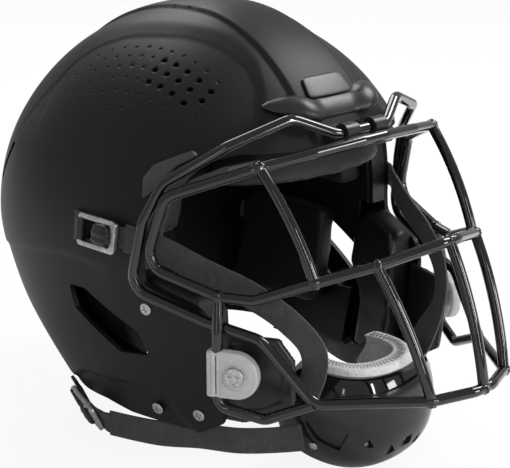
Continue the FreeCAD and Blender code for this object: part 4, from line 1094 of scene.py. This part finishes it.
@dataclass
class SideClips:
    """Frosted clear clips round the mask's posts, with their quarter-turn bolts."""

    height: float = 29.0
    offset: float = 11.5
    thickness: float = 7.0
    yaw: float = 27.0
    rise: float = -49.75

    def place(self, side: int) -> Matrix:
        """The clip's own frame."""
        y = FORM.axis_y - 106.4 * MM
        x = float(FORM.side_x(y, FORM.widest - 4.2 * MM)) + 8.6 * MM
        yaw = math.radians(self.yaw)
        along = Vector((-side * math.sin(yaw), -math.cos(yaw), 0))
        outward = Vector((side * math.cos(yaw), -math.sin(yaw), 0))
        return frame_at(Vector((side * x, y - 3 * MM, FORM.widest + self.rise * MM)), along, outward)

    def build(self) -> None:
        """Make both clips and bolts."""
        half, radius = self.thickness / 2, self.height / 2
        edge = [(-6.0, -radius), (self.offset, -radius)]
        edge += [(self.offset + radius * math.sin(math.radians(a)), -radius * math.cos(math.radians(a)))
                 for a in range(6, 180, 6)]
        edge += [(self.offset, radius), (-6.0, radius)]
        plate = prism("plate", metres(edge), -half * MM, half * MM, "z")
        modify(plate, "BEVEL", width=1.5 * MM, segments=4, limit_method="ANGLE", angle_limit=math.radians(50))
        for x in (-2.6, 0.2, 3.0):
            carve(plate, slab("rib", (0.8, 24, 1.0), shift(x, 0, half)))
        carve(plate, rod("dish", 48, 8.6, 1.2, shift(self.offset, 0, half)))
        carve(plate, rod("bore", 32, 3.36, 40, Matrix.Rotation(math.pi / 2, 4, "X")))
        bolt = self._bolt()
        for name, side in SIDES:
            place = self.place(side)
            clip = copy_of(plate, "clear_clip_" + name, place)
            smooth_faces(clip, 30)
            declare(clip, CLEAR, "facemask", "clear_clip", "side_clip_" + name)
            head = copy_of(bolt, "clip_bolt_head_" + name, place)
            smooth_faces(head, 30)
            declare(head, STEEL, "clip_bolt_body_" + name, "satin_steel", "clip_bolt_" + name)
        remove(plate)
        remove(bolt)

    def _bolt(self) -> bpy.types.Object:
        """The bolt's head with three round dimples."""
        head = rod("bolt_model", 48, 6, 2.4, shift(self.offset, 0, self.thickness / 2 + 0.6))
        modify(head, "BEVEL", width=0.7 * MM, segments=4, limit_method="ANGLE", angle_limit=math.radians(50))
        top = self.thickness / 2 + 1.8
        for turn in (30, 150, 270):
            across, up = 2.9 * math.cos(math.radians(turn)), 2.9 * math.sin(math.radians(turn))
            carve(head, rod("dimple", 24, 1.5, 1.4, shift(self.offset + across, up, top)))
        return head


# ---------------------------------------------------------------- chin cup and straps


@dataclass
class ChinCup:
    """The hard cup with its brim, vents and recesses, and its stitched white pad."""

    centre: tuple = (0.0, -92.0, 44.0)
    semi: tuple = (50.0, 48.0, 44.0)
    fullness: float = 2.3
    wall: float = 3.2

    def egg(self, name: str, inset: float, segments: int = 120, rings: int = 72) -> bpy.types.Object:
        """The full closed form of the cup at this depth, in millimetres."""
        bpy.ops.mesh.primitive_uv_sphere_add(segments=segments, ring_count=rings, radius=1.0)
        piece = named(name)
        rows = points_of(piece)
        rows /= (np.abs(rows) ** self.fullness).sum(1)[:, None] ** (1 / self.fullness)
        set_points(piece, (rows * (np.array(self.semi) - inset) + np.array(self.centre)) * MM)
        return piece

    def window(self, rim: float, rear: float) -> bpy.types.Object:
        """What is kept of the cup: below its brim and ahead of its rear edge."""
        _x, y, z = self.centre
        _a, depth, height = self.semi
        corners = [(y - 2 * depth, z + 0.55 * height + rim), (y + 0.12 * depth + rear, z + 0.62 * height + rim),
                   (y + 0.42 * depth + rear, z + 0.16 * height), (y + 0.62 * depth + rear, z - 2 * height),
                   (y - 2 * depth, z - 2 * height)]
        return prism("cup_window", metres(rounded(corners, 6.0)), -0.08, 0.08)

    def build(self) -> None:
        """Make the cup, its brim, pad, stitches and rivets."""
        body = self.window(0, 0)
        carve(body, self.egg("outer", 0.0), "INTERSECT")
        carve(body, self.egg("inner", self.wall))
        recess = [(-96.5, 41.5), (-117.5, 46.5), (-124.5, 38.5), (-118.0, 25.5), (-105.0, 31.0)]
        for _name, side in SIDES:
            low, high = sorted((side * 0.030, side * 0.060))
            tool = prism("recess", metres(rounded(recess, 2.0)), low, high)
            carve(tool, self.egg("floor", 1.5))
            carve(body, tool)
        vents = [[(-4.6, 22.0), (-4.0, 29.0), (4.0, 29.0), (4.6, 22.0)]]
        for side in (1, -1):
            vents.append([(side * 14.5, 18.0), (side * 14.0, 27.5), (side * 8.0, 20.5)])
            vents.append([(side * 32.5, 28.5), (side * 30.0, 34.5), (side * 25.5, 27.5)])
        for outline in vents:
            carve(body, prism("vent", metres(rounded(outline, 0.9)), -0.16, -0.10, "y"))
        body.name = "cup_body"
        smooth_faces(body, 32)
        declare(body, CUP_PLASTIC, "chin_cup", "cup_plastic", "chin_cup_shell")
        self._brim()
        self._pad()
        self._rivets()

    def _brim(self) -> None:
        """The glossy band round the cup's brim."""
        brim = self.window(0.2, 0.2)
        carve(brim, self.egg("outer", -0.7), "INTERSECT")
        carve(brim, self.egg("inner", self.wall + 0.1))
        below = [(-210.0, 60.8), (-92.0, 64.2), (-80.0, 47.5), (-60.0, 20.0), (-60.0, -60.0), (-210.0, -60.0)]
        carve(brim, prism("below", metres(rounded(below, 5.0)), -0.08, 0.08))
        brim.name = "cup_brim"
        smooth_faces(brim, 32)
        declare(brim, MASK_COAT, "chin_cup", "black_plastic")

    def level(self, turn: float, height: float, inset: float) -> Vector:
        """A point of the cup's level curve, by its turn from straight ahead."""
        share = 1 - (abs(height - self.centre[2]) / (self.semi[2] - inset)) ** self.fullness
        size = share ** (1 / self.fullness)
        power = 2 / self.fullness
        across, ahead = math.sin(turn), math.cos(turn)
        x = (self.semi[0] - inset) * size * math.copysign(abs(across) ** power, across)
        y = self.centre[1] - (self.semi[1] - inset) * size * math.copysign(abs(ahead) ** power, ahead)
        return Vector((x * MM, y * MM, height * MM))

    def _pad(self) -> None:
        """The white pad, rounded, with a zigzag of black thread along its top."""
        pad = self.window(3.6, 5.6)
        carve(pad, self.egg("outer", self.wall + 0.4), "INTERSECT")
        carve(pad, self.egg("inner", self.wall + 6.2))
        pad.name = "cup_cushion"
        softened(pad, 1.25, 4)
        declare(pad, CUP_FABRIC, "chin_cup", "cup_fabric", "chin_cup_pad")
        path = []
        for step in range(93):
            turn = math.radians(-104 + 208 * step / 92)
            top = self.centre[2] + 0.55 * self.semi[2] + 3.7
            rough = self.level(turn, top, self.wall + 3.2)
            height = top + (rough.y / MM + 188) * 0.0305 - 0.35
            path.append(self.level(turn, height, self.wall + (1.9 if step % 2 else 5.0)))
        thread = tube("cup_stitching", path, 0.42 * MM, 8)
        declare(thread, THREAD, "chin_cup", "cup_fabric")

    def _rivets(self) -> None:
        """Domed rivets that hold the straps to the cup."""
        heads = []
        for _name, side in SIDES:
            bpy.ops.mesh.primitive_uv_sphere_add(segments=32, ring_count=16, radius=1.0)
            head = named("rivet")
            spot = Vector((side * 47.0, -101.8, 25.5)) * MM
            outward = Vector((side * 0.86, -0.2, -0.47))
            head.data.transform(frame_at(spot, Vector((0, -1, 0)), outward)
                                @ Matrix.Diagonal((3.1 * MM, 3.1 * MM, 1.3 * MM, 1)))
            heads.append(head)
        rivets = smooth_all(joined("cup_rivet_heads", heads))
        declare(rivets, STEEL, "chin_cup", "satin_steel", "cup_rivets")


@dataclass
class Straps:
    """Four chin straps in webbing, each with a short end that runs into its buckle."""

    width: float = 17.0
    thickness: float = 1.7
    buckles: Buckles = field(default_factory=Buckles)

    def on_shell(self, back: float, rise: float) -> tuple[Vector, Vector]:
        """A station that lies flat on the shell's right-hand side."""
        seat = FORM.side_seat(-1, FORM.axis_y + back * MM, FORM.widest + rise * MM, 1.4 * MM)
        normal = seat.col[2].to_3d()
        up = Vector((0, 0, 1))
        return seat.translation, up - normal * up.dot(normal)

    def ribbon(self, name: str, stations: Sequence[tuple], count: int, width: float) -> bpy.types.Object:
        """A flat strap through stations, each a point and the direction of its width.

        Args:
            name: the new piece's name.
            stations: (point, width direction) pairs in metres.
            count: faces along it.
            width: its width in millimetres.

        Returns:
            The strap with its thickness, edges and lengthwise pattern coordinates.
        """
        spots = np.array([tuple(point) for point, _up in stations])
        ups = np.array([tuple(up.normalized()) for _point, up in stations])
        knots = np.concatenate([[0], np.cumsum(np.linalg.norm(np.diff(spots, axis=0), axis=1))])
        fine = np.linspace(0, knots[-1], count + 1)
        middle = np.stack([spline_through(knots, spots[:, axis], fine) for axis in range(3)], -1)
        lean = np.stack([np.interp(fine, knots, ups[:, axis]) for axis in range(3)], -1)
        along = np.gradient(middle, axis=0)
        along /= np.linalg.norm(along, axis=1)[:, None]
        lean -= along * (lean * along).sum(1)[:, None]
        lean /= np.linalg.norm(lean, axis=1)[:, None]
        bpy.ops.mesh.primitive_grid_add(x_subdivisions=count, y_subdivisions=6, size=2)
        piece = named(name)
        rows = points_of(piece)
        index = np.rint((rows[:, 0] + 1) / 2 * count).astype(int)
        across = rows[:, 1] * width / 2 * MM
        pattern = piece.data.uv_layers.active or piece.data.uv_layers.new()
        corner = np.empty(len(piece.data.loops), np.int32)
        piece.data.loops.foreach_get("vertex_index", corner)
        flat = np.stack([fine[index], across], -1)[corner]
        pattern.data.foreach_set("uv", flat.astype(np.float32).ravel())
        set_points(piece, middle[index] + lean[index] * across[:, None])
        modify(piece, "SOLIDIFY", thickness=self.thickness * MM, offset=0.0)
        modify(piece, "BEVEL", width=0.45 * MM, segments=2, limit_method="ANGLE",
               angle_limit=math.radians(50))
        smooth_faces(piece, 45)
        WEBBING.dress(piece)
        return piece

    def flip(self, stations: Sequence[tuple], side: int) -> list[tuple]:
        """The stations for one side; they are written for the wearer's right."""
        turn = Vector((-side, 1, 1))
        return [(point * turn, up * turn) for point, up in stations]

    def build(self) -> None:
        """Make the four straps."""
        up = Vector((0, 0, 1))
        _kind, seat, _rise = self.buckles.seats[0]
        ahead = seat - self.buckles.length - 0.8
        upper = [self.on_shell(ahead, 20.5), self.on_shell(ahead - 6, 20.2), self.on_shell(ahead - 12, 19.8)]
        for x, y, z, lean in ((-106.5, -33.0, 149.0, up), (-95.0, -56.0, 138.5, up), (-82.0, -84.0, 127.0, up),
                              (-70.0, -104.0, 112.0, Vector((0, -0.3, 1))),
                              (-60.0, -112.0, 96.0, Vector((0, -0.7, 1))),
                              (-53.5, -108.0, 78.0, Vector((0, -1, 0.4))),
                              (-51.5, -101.0, 62.0, Vector((0, -1, 0.2)))):
            upper.append((Vector((x, y, z)) * MM, lean))
        lower = []
        for x, y, z in ((-104.0, 24.0, 19.0), (-98.5, 6.0, 19.0), (-94.5, -12.0, 20.5), (-86.0, -42.0, 25.5),
                        (-75.0, -66.0, 26.5), (-60.0, -84.0, 28.0)):
            lower.append((Vector((x, y, z)) * MM, up))
        lower.append((Vector((-50.8, -97.0, 31.0)) * MM, Vector((0.15, 0, 1))))
        for name, side in SIDES:
            self._strap("upper", name, self.flip(upper, side))
            self._strap("lower", name, self.flip(lower, side))

    def _strap(self, kind: str, name: str, stations: list) -> None:
        """One long strap that bends toward the cup, and its short end at the buckle."""
        piece = self.ribbon(f"{kind}_webbing_{name}", stations, 90, self.width)
        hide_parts(f"{kind}_strap_{name}")
        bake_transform(piece)
        place = self.buckles.place(kind, 1 if name == "l" else -1)
        lean = place.col[1].to_3d()
        if lean.dot(stations[0][1]) < 0:
            lean = -lean
        short = [(place @ Vector((x * MM, 0, z * MM)), lean) for x, z in ((16.0, -1.9), (22.0, -2.5), (28.0, -2.9))]
        short += [(stations[0][0] * 0.35 + short[-1][0] * 0.65, lean), (stations[0][0], stations[0][1]),
                  (stations[1][0], stations[1][1])]
        end = self.ribbon(f"{kind}_strap_end_{name}", short, 40, 13.0)
        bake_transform(end)


def spline_through(knots: np.ndarray, values: np.ndarray, fine: np.ndarray) -> np.ndarray:
    """A smooth curve through values, with slopes taken from their neighbours."""
    slopes = np.gradient(values, knots)
    index = np.clip(np.searchsorted(knots, fine, "right") - 1, 0, len(knots) - 2)
    width = knots[index + 1] - knots[index]
    t = (fine - knots[index]) / width
    a = (1 + 2 * t) * (1 - t) ** 2
    b = t * (1 - t) ** 2
    c = t * t * (3 - 2 * t)
    d = t * t * (t - 1)
    return a * values[index] + b * width * slopes[index] + c * values[index + 1] + d * width * slopes[index + 1]


# ---------------------------------------------------------------- studio


@dataclass
class Studio:
    """Floor, lamps, world and camera."""

    lens: float = 104.3
    eye: tuple = (-0.65527, -0.66409, 0.41436)
    aim: tuple = (0.0, -0.004, 0.130)

    def build(self) -> None:
        """Set the whole stage."""
        self._floor()
        self._world()
        self._lamps()
        self._camera()

    def _background(self, nodes: bpy.types.Nodes, links: bpy.types.NodeLinks) -> bpy.types.NodeSocket:
        """One where the ray comes from the camera or through glass."""
        path = nodes.new("ShaderNodeLightPath")
        either = nodes.new("ShaderNodeMath")
        either.operation = "MAXIMUM"
        links.new(path.outputs["Is Camera Ray"], either.inputs[0])
        links.new(path.outputs["Is Transmission Ray"], either.inputs[1])
        return either.outputs[0]

    def _floor(self) -> None:
        """A plain pale floor under the chin cup."""
        bpy.ops.mesh.primitive_plane_add(size=14, location=(0, 0, -0.0005))
        floor = named("floor")
        bpy.ops.object.transform_apply(location=True)
        paint = bpy.data.materials.new("pale_floor")
        paint.use_nodes = True
        nodes, links = paint.node_tree.nodes, paint.node_tree.links
        shader = nodes["Principled BSDF"]
        for socket, value in (("Base Color", (0.9, 0.9, 0.9, 1)), ("Roughness", 0.9), ("Specular IOR Level", 0.1)):
            shader.inputs[socket].default_value = value
        glow = nodes.new("ShaderNodeEmission")
        glow.inputs["Color"].default_value = (1, 1, 1, 1)
        share = nodes.new("ShaderNodeMath")
        share.operation = "MULTIPLY"
        share.inputs[1].default_value = 0.9
        links.new(self._background(nodes, links), share.inputs[0])
        mix = nodes.new("ShaderNodeMixShader")
        links.new(share.outputs[0], mix.inputs["Fac"])
        links.new(shader.outputs[0], mix.inputs[1])
        links.new(glow.outputs[0], mix.inputs[2])
        links.new(mix.outputs[0], nodes["Material Output"].inputs["Surface"])
        floor.data.materials.append(paint)

    def _world(self) -> None:
        """White where it is seen, softer where it lights."""
        world = bpy.data.worlds.new("studio")
        bpy.context.scene.world = world
        world.use_nodes = True
        nodes, links = world.node_tree.nodes, world.node_tree.links
        nodes.clear()
        seen = nodes.new("ShaderNodeBackground")
        seen.inputs["Color"].default_value = (1, 1, 1, 1)
        seen.inputs["Strength"].default_value = 1.0
        soft = nodes.new("ShaderNodeBackground")
        soft.inputs["Color"].default_value = (1, 1, 1, 1)
        soft.inputs["Strength"].default_value = 0.4
        mix = nodes.new("ShaderNodeMixShader")
        out = nodes.new("ShaderNodeOutputWorld")
        links.new(self._background(nodes, links), mix.inputs["Fac"])
        links.new(soft.outputs[0], mix.inputs[1])
        links.new(seen.outputs[0], mix.inputs[2])
        links.new(mix.outputs[0], out.inputs["Surface"])

    def _lamps(self) -> None:
        """Soft lamps over and ahead, and two narrow ones that draw fine lines on the bars."""
        for name, place, power, width, tall in (
                ("key", (1.25, -0.35, 1.65), 26, 0.8, 0.8), ("fill", (0.7, -1.7, 0.6), 10, 0.5, 0.5),
                ("back", (0.6, 1.3, 1.5), 12, 0.9, 0.9), ("near_strip", (-1.6, -0.9, 0.5), 2, 0.08, 1.2),
                ("front_strip", (-0.2, -1.9, 0.7), 9, 0.08, 1.2)):
            lamp = bpy.data.lights.new(name, "AREA")
            lamp.shape = "RECTANGLE"
            lamp.energy = power
            lamp.size = width
            lamp.size_y = tall
            holder = bpy.data.objects.new(name, lamp)
            holder.location = place
            holder.rotation_euler = (Vector((0, 0, 0.14)) - Vector(place)).to_track_quat("-Z", "Y").to_euler()
            bpy.context.scene.collection.objects.link(holder)

    def _camera(self) -> None:
        """The camera a little above the brow, ahead and to the wearer's right."""
        lens = bpy.data.cameras.new("camera")
        lens.lens = self.lens
        lens.sensor_width = 36.0
        holder = bpy.data.objects.new("camera", lens)
        holder.location = self.eye
        holder.rotation_euler = (Vector(self.aim) - Vector(self.eye)).to_track_quat("-Z", "Y").to_euler()
        bpy.context.scene.collection.objects.link(holder)
        bpy.context.scene.camera = holder
        bpy.context.scene.view_settings.view_transform = "Standard"


# ---------------------------------------------------------------- carried-over pieces


CARRIED = {
    "outer_shell": SHELL_PAINT,
    "inner_shell": INNER_PLASTIC, "impact_columns": DARK_VOID, "edge_trim": RUBBER,
    "temple_guards": GREY_GUARD, "brow_guards": GREY_GUARD, "bumper_plate": RUBBER,
    "front_bumper": RUBBER, "rear_bumper": RUBBER, "jaw_guard_r": BLACK_PLASTIC, "jaw_guard_l": BLACK_PLASTIC,
    "mask_outer_ring": MASK_COAT, "mask_inner_ring": MASK_COAT, "mask_eye_bars": MASK_COAT,
    "mask_chin_bars": MASK_COAT, "mask_centre_bar": MASK_COAT, "mask_side_posts": MASK_COAT,
    "brow_clips": BLACK_PLASTIC, "clip_bases": BLACK_PLASTIC, "shell_screws": STEEL, "cup_rivets": STEEL,
    "side_clip_r": CLEAR, "side_clip_l": CLEAR, "clip_bolt_r": STEEL, "clip_bolt_l": STEEL,
    "chin_cup_shell": CUP_PLASTIC, "chin_cup_pad": CUP_FABRIC,
}
for _kind in ("upper", "lower"):
    for _hand in ("r", "l"):
        CARRIED[f"{_kind}_anchor_{_hand}"] = BLACK_PLASTIC
        CARRIED[f"{_kind}_buckle_{_hand}"] = NICKEL
        CARRIED[f"{_kind}_cam_{_hand}"] = NICKEL
        CARRIED[f"{_kind}_loop_{_hand}"] = WEBBING
        CARRIED[f"{_kind}_strap_{_hand}"] = WEBBING
for _pad in ("front_pad", "crown_pad", "rear_pad", "nape_pad", "side_pad_r", "side_pad_l"):
    CARRIED[_pad] = LINER_SKIN
for _pad in ("jaw_pad_r", "jaw_pad_l"):
    CARRIED[_pad] = JAW_SKIN


def dress_carried(frame: dict) -> None:
    """Give every carried-over node its finish."""
    for name, node in frame["nodes"].items():
        CARRIED[name].dress(node)


def main() -> None:
    """Build every sub-assembly in order and report each."""
    logging.basicConfig(level=logging.INFO, format="%(message)s")
    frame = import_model()
    deselect()
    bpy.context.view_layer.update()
    dress_carried(frame)
    Studio().build()
    OuterShell().build()
    for part in (Liner(), Guards(), Mask(), Buckles(), SideClips(), ChinCup(), Straps()):
        part.build()
        log.info("%s done", type(part).__name__)


if __name__ == "__main__":
    main()
